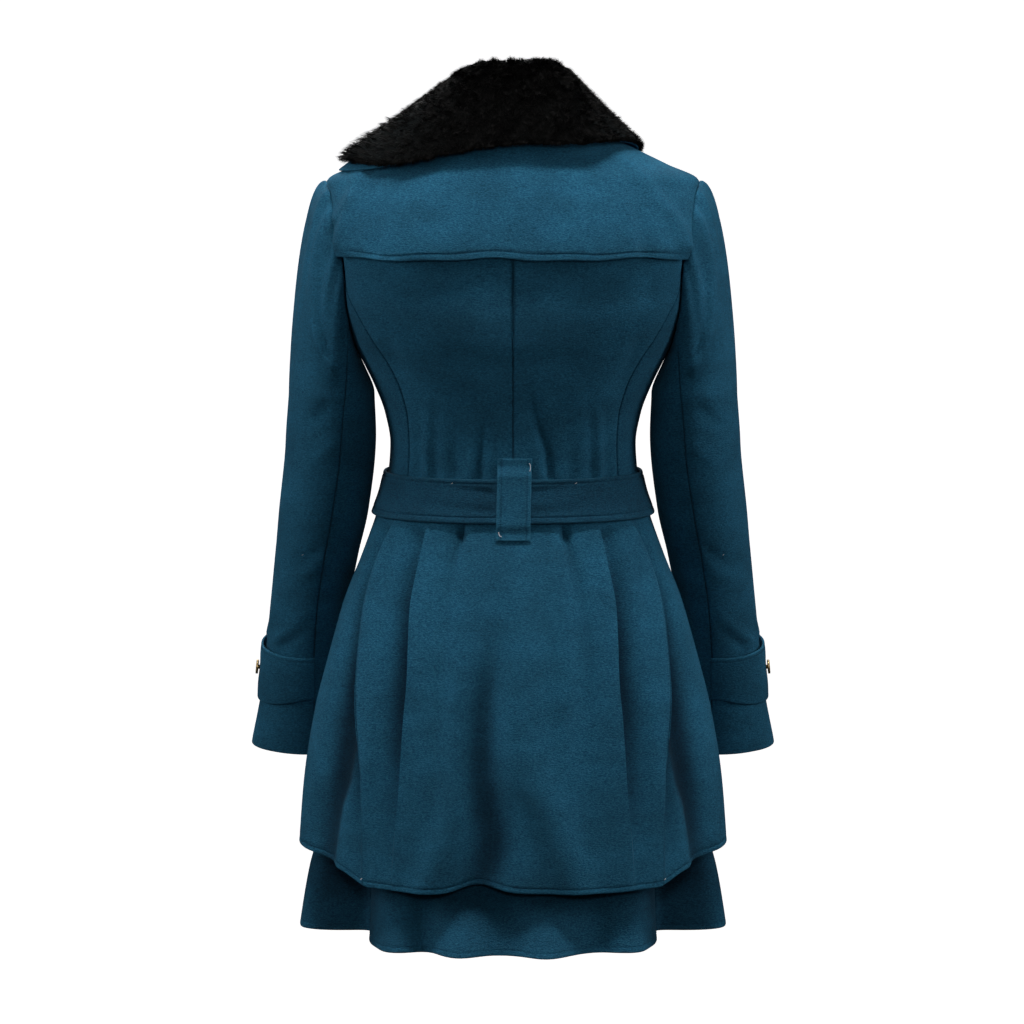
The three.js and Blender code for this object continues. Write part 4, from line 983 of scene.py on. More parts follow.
def back_upper(u, w):
    """The upper back's angle and height: u from the middle to the armhole, w from the flap's hem up."""
    side = panel_side(FLAP_HEM_Z, True) - SEAM_ANGLE
    top_t, top_z = back_top(u)
    edge = panel_side(lerp(FLAP_HEM_Z, SHOULDER_Z, w), True) - SEAM_ANGLE
    correction = u * (edge - lerp(side, beside_side(SHOULDER_Z, True), w)) * (1 - w**16)
    z = lerp(FLAP_HEM_Z, top_z, w)
    middle = np.where(u <= 0, beside_middle(z), 0)
    return np.where(u <= 0, middle, lerp(side * u, top_t, w) + correction), z


CREASE_DEPTH = 1.4
CREASES_FROM_Y = 10
CREASES_FULL_Y = 45


def on_back(points, creases):
    """Only the back half takes the back's creases."""
    x, y, z = np.moveaxis(points, -1, 0)
    return CREASE_DEPTH * relief(creases, x, z) * smooth(CREASES_FROM_Y, CREASES_FULL_Y, y)


def back_panel(name, mirror):
    u = spread(BACK_WIDTH, BACK_ACROSS_STEP)
    heights = lerp(WAIST_Z, FLAP_HEM_Z, spread(LOWER_BACK, BACK_UP_STEP, high=False))
    low_t = lerp(beside_middle(heights)[:, None], panel_side(heights, True)[:, None] - SEAM_ANGLE, u[None, :])
    low_z = np.repeat(heights[:, None], len(u), 1)
    w = spread(UPPER_BACK, BACK_UP_STEP, low=False)[1:, None]
    high_t, high_z = back_upper(u[None, :], w)
    t, z = np.concatenate([low_t, high_t]), np.concatenate([low_z, high_z])
    points = bodice(t, z)
    raised = on_back(flipped(points, mirror), BODICE_CREASES)
    return cloth(
        name,
        points,
        wall_normals(bodice, t, z),
        raised=raised,
        seams=("left", "right", "high"),
        mirror=mirror,
    )


# Painted shade: both side panels are darkened all over, standing for the shadow of the arms
UNDER_ARM_PAINTED_SHADE = 0.22


def side_panel(name, backwards, mirror):
    u, rise = np.meshgrid(spread(SIDE_WIDTH, ACROSS_STEP), spread(SIDE_LENGTH, UP_STEP))
    z = lerp(WAIST_Z, SEAM_AT_ARMHOLE_Z, rise)
    gap = SEAM_ANGLE if backwards else -SEAM_ANGLE
    meet = armhole_at_height(SEAM_AT_ARMHOLE_Z, backwards)
    side_z = lerp(WAIST_Z, UNDERARM_Z - HALF_GAP, rise)
    low_z = lerp(z, side_z, u)
    low_t = lerp(panel_side(z, backwards) + gap, beside_side(low_z, backwards), u)
    top_z = lerp(SEAM_AT_ARMHOLE_Z, UNDERARM_Z, np.sin(np.radians(90 * u))) - HALF_GAP
    on_hole = armhole_at_height(top_z, backwards)
    under = beside_side(UNDERARM_Z, backwards)
    edge_t = np.where(u >= 1, under, np.where(u <= 0, meet + gap, on_hole))
    weight = rise**3
    t = low_t + weight * (edge_t - lerp(meet + gap, under, u))
    z = low_z + weight * (top_z - lerp(SEAM_AT_ARMHOLE_Z, UNDERARM_Z - HALF_GAP, u))
    if not backwards:
        t, z = t[:, ::-1], z[:, ::-1]
    points = bodice(t, z)
    return cloth(
        name,
        points,
        wall_normals(bodice, t, z),
        raised=on_back(points, BODICE_CREASES),
        seams=("left", "right", "high"),
        deep=UNDER_ARM_PAINTED_SHADE,
        mirror=mirror,
    )


FRONT_STITCH = 6


def lap_lift(x):
    return OVERLAP_LIFT * (1 - smooth(OVERLAP + 1, OVERLAP + OVERLAP_FADE, x))


def front_panel(name, mirror):
    """Drawn as the wearer's left front; the right one is mirrored and lies over it at the middle."""
    shoulder_line = [(90, lerp(NECK_SIDE_Z, SHOULDER_Z, k / 3)) for k in (1, 2, 3)]
    neck_t, neck_z = np.array(NECKLINE_FRONT + shoulder_line, float).T
    columns = len(neck_t) - 1
    u = spread(FRONT_WIDTH, BACK_UP_STEP)
    place = u * columns

    def past(z):
        return 180 + angle_across(BODICE, OVERLAP, z)

    def level(z):
        z = np.asarray(z, float)[:, None]
        lap = lerp(past(z), 180, smooth(BREAK_Z - 25, BREAK_Z, z))
        side = panel_side(z, False) + SEAM_ANGLE
        before = 360 - past(z)
        rest = lerp(before, side, np.clip((place - 2) / (columns - 2), 0, 1)[None, :])
        halfway = (lap + before) / 2
        near = np.where(place < 1, lerp(lap, halfway, place), lerp(halfway, before, place - 1))
        return np.where(place[None, :] < 2, near, rest)

    heights = lerp(WAIST_Z, BREAK_Z, spread(LOWER_FRONT, UP_STEP, high=False))
    low_t = level(heights)
    low_z = np.repeat(heights[:, None], len(u), 1)
    w = spread(UPPER_FRONT, UP_STEP, low=False)[1:, None]
    knots = np.arange(columns + 1)
    top_z = np.interp(place, knots, neck_z)
    top_t = np.maximum(np.interp(place, knots, neck_t), beside_side(top_z, False))
    edge = panel_side(lerp(BREAK_Z, SHOULDER_Z, w), False) + SEAM_ANGLE
    first = panel_side(BREAK_Z, False) + SEAM_ANGLE
    correction = u[None, :] * (edge - lerp(first, beside_side(SHOULDER_Z, False), w)) * (1 - w**16)
    high_t = lerp(level([BREAK_Z]), top_t[None, :], w) + correction
    high_z = lerp(BREAK_Z, top_z[None, :], w)
    t = np.concatenate([low_t, high_t])[:, ::-1]
    z = np.concatenate([low_z, high_z])[:, ::-1]
    points = bodice(t, z)
    raised = lap_lift(points[..., 0]) if mirror else 0
    return cloth(
        name,
        points,
        wall_normals(bodice, t, z),
        raised=raised,
        seams=("left",),
        hems=("right", "high"),
        stitched=[("right", FRONT_STITCH, 0.4)],
        mirror=mirror,
    )


# Storm flap: the upper back's own points, moved out, loose along its topstitched hem
FLAP_CREASE_DEPTH = 1.8
FLAP_STITCH = 6.4
FLAP_HALF_WIDTH = 180
FLAP_LENGTH = 140
FLAP_STEP = 3
# Shares of the way to the armhole and to the neck that the flap reaches
FLAP_SIDE = 0.955
FLAP_TOP = 0.93


def storm_flap():
    half_u = spread(FLAP_HALF_WIDTH, BACK_ACROSS_STEP, low=False)
    w = spread(FLAP_LENGTH, FLAP_STEP, stitches=(FLAP_STITCH,)) * FLAP_TOP
    left_t, left_z = back_upper(half_u[None, :] * FLAP_SIDE, w[:, None])
    t = np.concatenate([-left_t[:, :0:-1], left_t], axis=1)
    z = np.concatenate([left_z[:, :0:-1], left_z], axis=1)
    x = bodice(t, z)[..., 0]
    wave = 1.3 * np.sin(x / 23 + 0.6) + 0.8 * np.sin(x / 11)
    z = z + wave * smooth(70, -FLAP_HEM_Z, -z)
    points = bodice(t, z)
    stand_off = CLOTH + lerp(2.1, 6.5, smooth(30, 108, -z))
    raised = stand_off + FLAP_CREASE_DEPTH * relief(FLAP_CREASES, points[..., 0], z)
    return cloth(
        "wool_storm_flap",
        points,
        normals(bodice, t, z),
        raised=raised,
        hems=("low", "left", "right"),
        stitched=[("low", FLAP_STITCH, 0.6)],
    )


# Skirt panels
def line_of(rows, side=1, shift=0):
    return lambda z: side * (along(rows, "angle", z) + shift)


def fixed(angle):
    return lambda z: np.full(np.shape(z), float(angle))


def lap_line(rows, past):
    def line(z):
        lap = np.degrees(np.arcsin((OVERLAP / along(rows, "side", z)) ** 1.1))
        return 180 + lap if past else 180 - lap

    return line


# Seams of the skirts and sleeves are drawn nearly closed, because light would show through a wider gap:
# half of one, and the angle it takes up at the skirt's and at the sleeve's usual reach
CLOSED_HALF_GAP = 0.04
SKIRT_REACH = 150
SLEEVE_REACH = 46
SEAM_SHIFT = math.degrees(CLOSED_HALF_GAP / SKIRT_REACH)
SLEEVE_SEAM_TURN = math.degrees(CLOSED_HALF_GAP / SLEEVE_REACH)


def over_hem(angle):
    angles, heights = zip(*OVER_HEM)
    near = [np.interp(turn(angle + shift), angles, heights) for shift in HEM_BLUR]
    return sum(near) / len(near)


def level_hem(angle):
    return UNDERSKIRT_HEM_Z + 0 * np.asarray(angle, float)


HEM_STITCH = 5.5
# A skirt's deep gives its painted shade, by angle and height
Skirt = namedtuple("Skirt", "surface deep top_z hem height back_step side_step back_knots side_knots")
OVER = Skirt(
    overskirt,
    overskirt_painted_shade,
    OVERSKIRT_TOP_Z,
    over_hem,
    height=(380, 374),
    back_step=2.6,
    side_step=3.6,
    back_knots=[
        (line_of(SEAM_PLEAT, -1, -SEAM_SHIFT), 60),
        (line_of(INNER_PLEAT, -1, PLEAT_DROP), 3),
        (line_of(INNER_PLEAT, -1), 100),
        (line_of(INNER_PLEAT, 1), 3),
        (line_of(INNER_PLEAT, 1, PLEAT_DROP), 60),
        (line_of(SEAM_PLEAT, 1, -SEAM_SHIFT), 1),
    ],
    side_knots=[
        (line_of(SEAM_PLEAT, 1, SEAM_SHIFT), 5),
        (line_of(SEAM_PLEAT, 1, PLEAT_DROP * 1.6), 220),
        (line_of(FRONT_PLEATS[0], 1, -PLEAT_DROP), 3),
        (line_of(FRONT_PLEATS[0], 1), 60),
        (line_of(FRONT_PLEATS[1], 1, -PLEAT_DROP), 3),
        (line_of(FRONT_PLEATS[1], 1), 60),
        (fixed(164), 22),
        (lap_line(OVERSKIRT, False), 40),
        (lap_line(OVERSKIRT, True), 1),
    ],
)
UNDER = Skirt(
    underskirt,
    underskirt_painted_shade,
    UNDERSKIRT_TOP_Z,
    level_hem,
    height=(442, 442),
    back_step=3.6,
    side_step=4.6,
    back_knots=[(fixed(-UNDERSKIRT_SEAM + SEAM_SHIFT), 300), (fixed(UNDERSKIRT_SEAM - SEAM_SHIFT), 1)],
    side_knots=[
        (fixed(UNDERSKIRT_SEAM + SEAM_SHIFT), 380),
        (lap_line(UNDERSKIRT, False), 40),
        (lap_line(UNDERSKIRT, True), 1),
    ],
)


def skirt_panel(name, skirt, back=False, mirror=False):
    """A skirt's back, or a side that laps over the other in front, where the mirrored one lies on top."""
    knots = skirt.back_knots if back else skirt.side_knots
    step = skirt.back_step if back else skirt.side_step
    height = skirt.height[0 if back else 1]
    share = 1 - spread(height, step * 1.15, stitches=(HEM_STITCH,))
    middle = lerp(skirt.top_z, skirt.hem(0), share)
    t = knotted(knots, middle, step)
    z = lerp(skirt.top_z, skirt.hem(t), share[:, None])
    points = skirt.surface(t, z)
    outward = normals(skirt.surface, t, z)
    outward[..., 2] *= smooth(WAIST_Z + 2, WAIST_Z - 24, z)
    return cloth(
        name,
        points,
        unit(outward),
        raised=lap_lift(points[..., 0]) if mirror else 0,
        seams=("left", "right") if back else ("left",),
        hems=("low",) if back else ("low", "right"),
        stitched=[("low", HEM_STITCH, 0.45)],
        deep=skirt.deep(t, z),
        mirror=mirror,
    )


# Sleeves
def arm_middle(z):
    return stack(along(ARM, "x", z), along(ARM, "y", z), z)


# A point of the arm's tube: 0 is its outer side and 90 its back
def tube_point(angle, z):
    a = np.radians(angle)
    axis = unit(arm_middle(z - 4) - arm_middle(z + 4))
    slant = RING_SLANT * smooth(-ARM_TOP_Z, -SLANT_FULL_Z, -np.asarray(z, float))
    zero, one = np.zeros(np.shape(slant)), np.ones(np.shape(slant))
    outward = stack(one, zero, slant * -axis[..., 0] / axis[..., 2])
    backward = stack(zero, one, slant * -axis[..., 1] / axis[..., 2])
    across = (along(ARM, "across", z) * np.cos(a))[..., None]
    deep = (along(ARM, "deep", z) * np.sin(a))[..., None]
    return arm_middle(z) + outward * across + backward * deep


# How the sleeve's cloth leaves the armhole, at the underarm and at the shoulder: across, up and how strongly
LEAVE_ACROSS = (0.1, 0.85)
LEAVE_UP = (-0.95, 0.35)
LEAVE_STRENGTH = (18, 90)
SEAT_INSET = 0.4
SEAT_LIFT = 0.8


def sleeve_head(angle, share):
    """From the armhole out over the shoulder and down into the tube, for shares from 0 to 1."""
    seat_t, seat_z = armhole(angle, SEAT_INSET)
    start = bodice(seat_t, seat_z) + normals(bodice, seat_t, seat_z) * SEAT_LIFT
    end = tube_point(angle, np.full(np.shape(angle), float(ARM_TOP_Z)))
    length = np.linalg.norm(start - end, axis=-1)
    up = (np.cos(np.radians(angle)) + 1) / 2
    side = np.sin(np.radians(angle))
    leave = stack(lerp(*LEAVE_ACROSS, up), 0.25 * side, lerp(*LEAVE_UP, up))
    leave = leave * lerp(*LEAVE_STRENGTH, up)[..., None]
    arrive = stack(0.02 + 0 * up, 0 * up, -1 + 0 * up) * (length * 0.9)[..., None]
    s = np.asarray(share, float)[..., None]
    return (
        start * (2 * s**3 - 3 * s**2 + 1)
        + leave * (s**3 - 2 * s**2 + s)
        + end * (3 * s**2 - 2 * s**3)
        + arrive * (s**3 - s**2)
    )


# Rows down the sleeve: below 1 a share of its head, and from 1 on a place down its tube
ROW_LENGTH = 100


def sleeve_z(row):
    return ARM_TOP_Z - (np.asarray(row, float) - 1) * ROW_LENGTH


def row_at(z):
    return 1 + (ARM_TOP_Z - np.asarray(z, float)) / ROW_LENGTH


def sleeve(angle, row):
    angle, row = np.broadcast_arrays(np.asarray(angle, float), np.asarray(row, float))
    head = sleeve_head(angle, np.clip(row, 0, 1))
    return np.where((row <= 1)[..., None], head, tube_point(angle, sleeve_z(np.maximum(row, 1))))


def sleeve_normals(angle, row):
    row = np.maximum(row, 0.03)
    across = sleeve(angle + 0.6, row) - sleeve(angle - 0.6, row)
    down = sleeve(angle, row + 0.02) - sleeve(angle, row - 0.02)
    return unit(np.cross(down, across))


def back_seam(row):
    z = np.where(row <= 1, lerp(UNDERARM_Z, ARM_TOP_Z, row), sleeve_z(row))
    return along(BACK_SLEEVE_SEAM, "angle", z)


GATHER_DEPTH = 2.1
GATHER_LENGTH = 0.9


def head_gathers(angle, row):
    """Small pleats where the sleeve's head is eased into the armhole, dying away down the arm."""
    near = np.clip(1 - row / GATHER_LENGTH, 0, 1) ** 1.3 * smooth(0, 0.05, row)
    top = np.cos(np.radians(np.clip(angle * 0.72, -90, 90))) ** 0.6
    wave = np.cos(np.radians(angle * 15)) + 0.6 * np.cos(np.radians(angle * 23 + 70))
    return GATHER_DEPTH * near * top * wave


def sleeve_relief(angle, row):
    z = np.where(row <= 1, lerp(SHOULDER_Z - 60, ARM_TOP_Z, row), sleeve_z(row))
    return head_gathers(angle, np.minimum(row, 1)) + relief(SLEEVE_CREASES, angle, z)


def front_seam(row):
    return FRONT_SLEEVE_SEAM + 0 * row


def front_seam_again(row):
    """The same seam, once more round the arm."""
    return front_seam(row) + 360


def sleeve_panel(name, first_seam, last_seam, width, mirror):
    """Runs round the arm from one seam to another, and from the armhole to the hem."""
    head = spread(170, UP_STEP, high=False)
    tube = row_at(lerp(ARM_TOP_Z, SLEEVE_HEM_Z, spread(400, 4.2, low=False)))[1:]
    u = spread(width, ACROSS_STEP)
    row = np.repeat(np.concatenate([head, tube])[::-1, None], len(u), 1)
    angle = lerp(first_seam(row) + SLEEVE_SEAM_TURN, last_seam(row) - SLEEVE_SEAM_TURN, u[None, :])
    points = sleeve(angle, row)
    raised = sleeve_relief(angle, row)
    return cloth(
        name,
        points[:, ::-1],
        sleeve_normals(angle, row)[:, ::-1],
        raised=raised[:, ::-1],
        seams=("left", "right", "high"),
        hems=("low",),
        mirror=mirror,
    )


CUFF_HEIGHT = 55
CUFF_STITCH = 4.5
CUFF_GAP = 0.8


def cuff(name, mirror):
    up = spread(CUFF_HEIGHT, 2.6, stitches=(CUFF_HEIGHT - CUFF_STITCH,))
    share, u = np.meshgrid(up, spread(170, 2.8), indexing="ij")
    low_row, high_row = row_at(CUFF_BOTTOM_Z), row_at(CUFF_TOP_Z)
    row = lerp(low_row, high_row, share)
    angle = lerp(back_seam(row) - SLEEVE_SEAM_TURN, front_seam(row) + SLEEVE_SEAM_TURN, u)
    drop = lerp(CUFF_BOTTOM_DROP, CUFF_TOP_DROP, share) * np.maximum(0, np.cos(np.radians(angle * 0.95)))
    row = row + drop / ROW_LENGTH
    points = sleeve(angle, row)
    pinch = -1.6 * np.exp(-(((angle - BUTTON_ANGLE) / 13) ** 2)) * np.exp(-(((share - 0.55) / 0.22) ** 2))
    puff = 1.2 * np.sin(np.pi * share) * (1 + 0.3 * np.cos(np.radians(angle * 3)))
    raised = CUFF_CLOTH + CUFF_GAP + CUFF_STAND_OFF * share + puff + pinch
    return cloth(
        name,
        points,
        sleeve_normals(angle, row),
        thick=CUFF_CLOTH,
        raised=raised,
        seams=("low",),
        hems=("high", "left", "right"),
        stitched=[("high", CUFF_STITCH, 0.4)],
        mirror=mirror,
    )


# Belt and loop
BELT_LOW_STITCH = 6.4
BELT_HIGH_STITCH = 4.8
BELT_LENGTH = 900
# Painted shade: the whole belt is darkened, as if in the shadow of the back above it
BELT_PAINTED_SHADE = 0.55


def belt_strap():
    t = lerp(BELT_START, BELT_END, spread(BELT_LENGTH, BACK_ACROSS_STEP))[::-1]
    width = BELT_TOP_Z - BELT_BOTTOM_Z
    stitches = (BELT_LOW_STITCH, width - BELT_HIGH_STITCH)
    z = lerp(BELT_BOTTOM_Z, BELT_TOP_Z, spread(width, 2.6, stitches=stitches))
    t, z = np.meshgrid(t, z)
    points = belt_line(t, z)
    raised = BELT_LAP * smooth(140, 168, -t) + on_back(points, BELT_CREASES)
    raised = raised + 0.6 * np.cos((BELT_TOP_Z - z) / width * np.pi * 2)
    return cloth(
        "wool_belt",
        points,
        normals(belt_line, t, z),
        thick=BELT_CLOTH,
        raised=raised,
        deep=BELT_PAINTED_SHADE,
        hems=("low", "high", "left", "right"),
        stitched=[("low", BELT_LOW_STITCH, 0.8), ("high", BELT_HIGH_STITCH, 0.8)],
    )


LOOP_ON_COAT = 2.9
LOOP_ON_BELT = 2.8
LOOP_STITCH = 4.4
LOOP_LEAN = -0.021
LOOP_WIDTH = 37
LOOP_LENGTH = 81
LOOP_END_STITCH = 5
LOOP_STEP = 1.8


def loop_reach(x, z):
    """How far back the loop's outer face stands, over the bodice, the belt and the skirt."""
    above = bodice(angle_across(BODICE, x, z), z)
    upper = above[..., 1] + on_back(above, BODICE_CREASES)
    below = np.minimum(z, OVERSKIRT[0].z)
    lower = overskirt(angle_across(OVERSKIRT, x, below), below)[..., 1]
    base = np.where(z > WAIST_Z, upper, lower) + LOOP_ON_COAT
    held = np.clip(z, BELT_BOTTOM_Z, BELT_TOP_Z)
    over = belt_line(angle_across(BELT, x, held), held)[..., 1] + LOOP_ON_BELT
    near = smooth(-387, -375, z) * (1 - smooth(-327, -314, z))
    return lerp(base, over, near)


def on_loop(x, z):
    """A point of the loop's outer face, which leans a little to one side."""
    return stack(x + LOOP_LEAN * (z - LOOP_BOTTOM_Z), loop_reach(x, z), z)


def belt_loop():
    end_stitches = (LOOP_END_STITCH, LOOP_LENGTH - LOOP_END_STITCH)
    side_stitches = (LOOP_STITCH, LOOP_WIDTH - LOOP_STITCH)
    z = lerp(LOOP_BOTTOM_Z, LOOP_TOP_Z, spread(LOOP_LENGTH, LOOP_STEP, stitches=end_stitches))
    x = lerp(-LOOP_HALF_WIDTH, LOOP_HALF_WIDTH, spread(LOOP_WIDTH, LOOP_STEP, stitches=side_stitches))
    x, z = np.meshgrid(x, z)
    return cloth(
        "wool_belt_loop",
        on_loop(x, z),
        stack(0 * x, 1 + 0 * x, 0 * x),
        hems=("low", "high", "left", "right"),
        stitched=[("left", LOOP_STITCH, 0.5), ("right", LOOP_STITCH, 0.5)],
    )


# Collar
COLLAR_FOOT_RISE = 3.2


def collar_foot(at):
    """The foot of the collar's stand: just inside the neck behind, and over the fronts' edges in front."""
    t, z = np.array(at, float)
    front = smooth(100, 150, t)
    point = bodice(t, z) + normals(bodice, t, z) * lerp(COLLAR_FOOT_BACK_OFF, COLLAR_FOOT_FRONT_OFF, front)
    return point + (0, 0, (1 - front) * COLLAR_FOOT_RISE)


def collar_row(row, mirror):
    places = [flipped(place, mirror) for place in (collar_foot(row.foot), row.roll, row.edge)]
    return CollarRow(*places, row.past)


# The whole collar, from its right front end round to its left one
COLLAR = [collar_row(row, True) for row in reversed(COLLAR_RIGHT[1:])]
COLLAR += [collar_row(row, False) for row in COLLAR_LEFT]


def through(values, u):
    """A smooth curve through evenly spaced points, at places from 0 to 1."""
    points = np.array(values, float).reshape(len(values), -1)
    last = len(points) - 1
    at = np.clip(np.asarray(u, float), 0, 1) * last
    i = np.clip(np.floor(at).astype(int), 0, last - 1)
    s = (at - i)[..., None]
    before = points[np.maximum(i - 1, 0)]
    here, there = points[i], points[i + 1]
    after = points[np.minimum(i + 2, last)]
    m0, m1 = (there - before) / 2, (after - here) / 2
    s2, s3 = s * s, s * s * s
    return (2 * s3 - 3 * s2 + 1) * here + (s3 - 2 * s2 + s) * m0 + (3 * s2 - 2 * s3) * there + (s3 - s2) * m1


ROLL_RISE = 0.35
ROLL_REACH = 0.25


def collar(u, share):
    """A point of the collar: u round the neck, and a share of the way from its foot to its fall's edge."""
    u, share = np.broadcast_arrays(np.asarray(u, float), np.asarray(share, float))
    foot = through([row.foot for row in COLLAR], u)
    roll = through([row.roll for row in COLLAR], u)
    edge = through([row.edge for row in COLLAR], u)
    upper = foot + (roll - foot) * (1 + ROLL_RISE)
    over = roll + (roll - foot) * ROLL_RISE + (edge - roll) * ROLL_REACH
    s = share[..., None]
    q = 1 - s
    return foot * q**3 + upper * (3 * q * q * s) + over * (3 * q * s * s) + edge * s**3


def collar_normals(u, share):
    u, share = np.broadcast_arrays(np.asarray(u, float), np.asarray(share, float))
    u = np.clip(u, 0.01, 0.99)
    along_it = collar(u + 0.004, share) - collar(u - 0.004, share)
    across = collar(u, share + 0.008) - collar(u, share - 0.008)
    return unit(np.cross(along_it, across))


def collar_down(u, share):
    return unit(collar(u, share + 0.02) - collar(u, share - 0.02))


COLLAR_ROUND = 620
COLLAR_WIDTH = 210
COLLAR_STEP = 5.2


def collar_grid():
    return np.meshgrid(spread(COLLAR_ROUND, COLLAR_STEP), spread(COLLAR_WIDTH, COLLAR_STEP), indexing="ij")


def collar_wall(name, points, out, near, far, material):
    """A wall of the collar between two distances from its surface, rounded at every edge."""
    rim = np.min(list(edge_distances(points).values()), axis=0)
    thick = far - near
    outer = far - rounding(rim, thick * 0.5)
    inner = near + rounding(rim, thick * 0.4)
    return wall(name, points + out * outer[..., None], points + out * inner[..., None], material, rim)


# The length of the collar's fall, by which the cloth that shows past the fur is made a share of it
FALL_LENGTH = 110
ALWAYS_PAST = 0.004


def under_collar():
    u, share = collar_grid()
    past = through([row.past for row in COLLAR], u[:, 0])[..., 0] / FALL_LENGTH
    share = share * (1 + (ALWAYS_PAST + np.maximum(past, 0))[:, None])
    points, out = collar(u, share), collar_normals(u, share)
    return collar_wall("wool_under_collar", points, out, -CLOTH, 0, wool)


def fur_backing():
    u, share = collar_grid()
    points, out = collar(u, share) + fur_end(u, share), collar_normals(u, share)
    return collar_wall("fur_collar_skin", points, out, FUR_BACKING, FUR_BACKING + FUR_SKIN, fur_skin)


# The thick blunt end of the fur over the wearer's left shoulder, whose hairs are longer
FUR_END_U = 10 / 14
FUR_END_WIDTH = 0.045
FUR_END_FROM = 0.72
FUR_END_DOWN = 3
FUR_END_OUT = 3
LONG_HAIR_WIDTH = 0.05
LONG_HAIR_FROM = 0.5
LONG_HAIR = 0.8
LONG_HAIR_LEAN = np.array([0.8, 0.1, 0.3])


def near_end(u, share, width, start):
    return np.exp(-(((u - FUR_END_U) / width) ** 2)) * smooth(start, 1, share)


def fur_end(u, share):
    weight = near_end(u, share, FUR_END_WIDTH, FUR_END_FROM)[..., None]
    return weight * (FUR_END_DOWN * collar_down(u, share) + FUR_END_OUT * collar_normals(u, share))


# Hairs in each of the fur's three piles
BLADES = 35000
BLADE_LENGTH = 5.6
BLADE_HALF_WIDTH = 0.3
RIM_BLADES = 0.14
ROOT_SINK = 0.3
RIM_INSET = 0.4
CLUMP_SIZE = 9
SWIRL_SIZE = 17
RUFFLE_WAVES = 14
RUFFLE_SCALE = 3.2


def ruffle(points, size, rng):
    """An uneven field from about -1 to 1, from waves that cross in all directions."""
    total = 0
    for _ in range(RUFFLE_WAVES):
        heading = unit(rng.normal(0, 1, 3)) * (2 * np.pi / size) * rng.uniform(0.6, 1.5)
        total = total + np.sin(points @ heading + rng.uniform(0, 2 * np.pi))
    return total / RUFFLE_SCALE


def fur_pile(name, low, high, rng):
    """Hairs of a quad and a triangle each over one stretch of the collar, lying towards its fall's edge."""
    u = rng.uniform(low, high, BLADES)
    share = rng.uniform(0, 1, BLADES) ** 0.8
    rim = rng.uniform(0, 1, BLADES) < RIM_BLADES
    share = np.where(rim, 1, share)
    root = collar(u, share)
    out = collar_normals(u, share)
    down = collar_down(u, share)
    side = unit(np.cross(out, down))
    clump = ruffle(root, CLUMP_SIZE, rng)
    swirl = ruffle(root, SWIRL_SIZE, rng)
    lean = (rng.normal(0, 0.45, BLADES) + 0.6 * swirl)[:, None]
    stand = rng.uniform(0.55, 1.25, BLADES)[:, None]
    heading = unit(down * (0.5 + 0.4 * clump)[:, None] + side * lean + out * stand)
    end = near_end(u, share, LONG_HAIR_WIDTH, LONG_HAIR_FROM)
    length = BLADE_LENGTH * rng.uniform(0.6, 1.2, BLADES) * (1 - 0.15 * clump) * (1 + LONG_HAIR * end)
    half = (length * 0.5)[:, None]
    heading = unit(heading + end[:, None] * LONG_HAIR_LEAN)
    bend = unit(heading - out * 0.2 + np.array([0, 0, -0.3]))
    depth = np.where(rim, rng.uniform(-0.15, 1, BLADES), 1)[:, None]
    base = root + out * (FUR_BACKING + (FUR_SKIN - ROOT_SINK) * depth)
    base = base - down * np.where(rim, RIM_INSET, 0)[:, None] + fur_end(u, share)
    spill = unit(down * 0.9 + side * lean + out * rng.uniform(-0.5, 0.8, BLADES)[:, None])
    heading = np.where(rim[:, None], spill, heading)
    middle = base + heading * half
    tip = middle + bend * half
    width = unit(np.cross(heading, out + rng.normal(0, 0.35, (BLADES, 3)))) * BLADE_HALF_WIDTH
    points = np.stack([base - width, base + width, middle + width * 0.75, middle - width * 0.75, tip], 1)
    first = np.arange(BLADES) * 5
    quads = np.stack([first, first + 1, first + 2, first + 3], 1)
    tips = np.stack([first + 3, first + 2, first + 4], 1)
    mesh = bpy.data.meshes.new(name)
    mesh.from_pydata((points.reshape(-1, 3) * MM).tolist(), [], quads.tolist() + tips.tolist())
    mark(mesh, "along", np.tile([0, 0, 0.5, 0.5, 1], BLADES))
    # Each hair's random grey tip, raised towards the fall's edge as a painted glint
    tip_tone_and_glint = rng.uniform(0, 1, BLADES) * lerp(0.2, 1.15, smooth(0.55, 0.95, share))
    mark(mesh, "own", np.repeat(tip_tone_and_glint, 5))
    new_object(name, mesh, fur_hair)


# Metal pieces, shaped from primitives
METAL_SHARP_ANGLE = 35


def deselect():
    bpy.ops.object.select_all(action="DESELECT")


def round_edges(width, segments, angle):
    rounded = bpy.context.object.modifiers.new("rounded", "BEVEL")
    rounded.width = width * MM
    rounded.segments = segments
    rounded.limit_method = "ANGLE"
    rounded.angle_limit = math.radians(angle)
    bpy.ops.object.modifier_apply(modifier="rounded")


def finish_metal(obj, name, matrix, bright_from):
    """Names the piece, moves its mesh to its place, and marks its raised parts as worn bright."""
    obj.name = name
    mesh = obj.data
    heights = np.array([v.co.z for v in mesh.vertices])
    mark(mesh, "bright", np.clip((heights - bright_from) / max(heights.max() - bright_from, 1e-6), 0, 1))
    mesh.transform(matrix)
    obj.matrix_world = Matrix.Identity(4)
    mesh.materials.clear()
    mesh.materials.append(brass)
    bpy.ops.object.shade_smooth_by_angle(angle=math.radians(METAL_SHARP_ANGLE))
    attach(obj, "root")
    return obj


def select_faces(obj, test):
    """Leaves edit mode on with only the faces that pass selected."""
    bpy.ops.object.mode_set(mode="EDIT")
    bpy.ops.mesh.select_mode(type="FACE")
    bpy.ops.mesh.select_all(action="DESELECT")
    bpy.ops.object.mode_set(mode="OBJECT")
    for p in obj.data.polygons:
        p.select = bool(test(p))
    bpy.ops.object.mode_set(mode="EDIT")


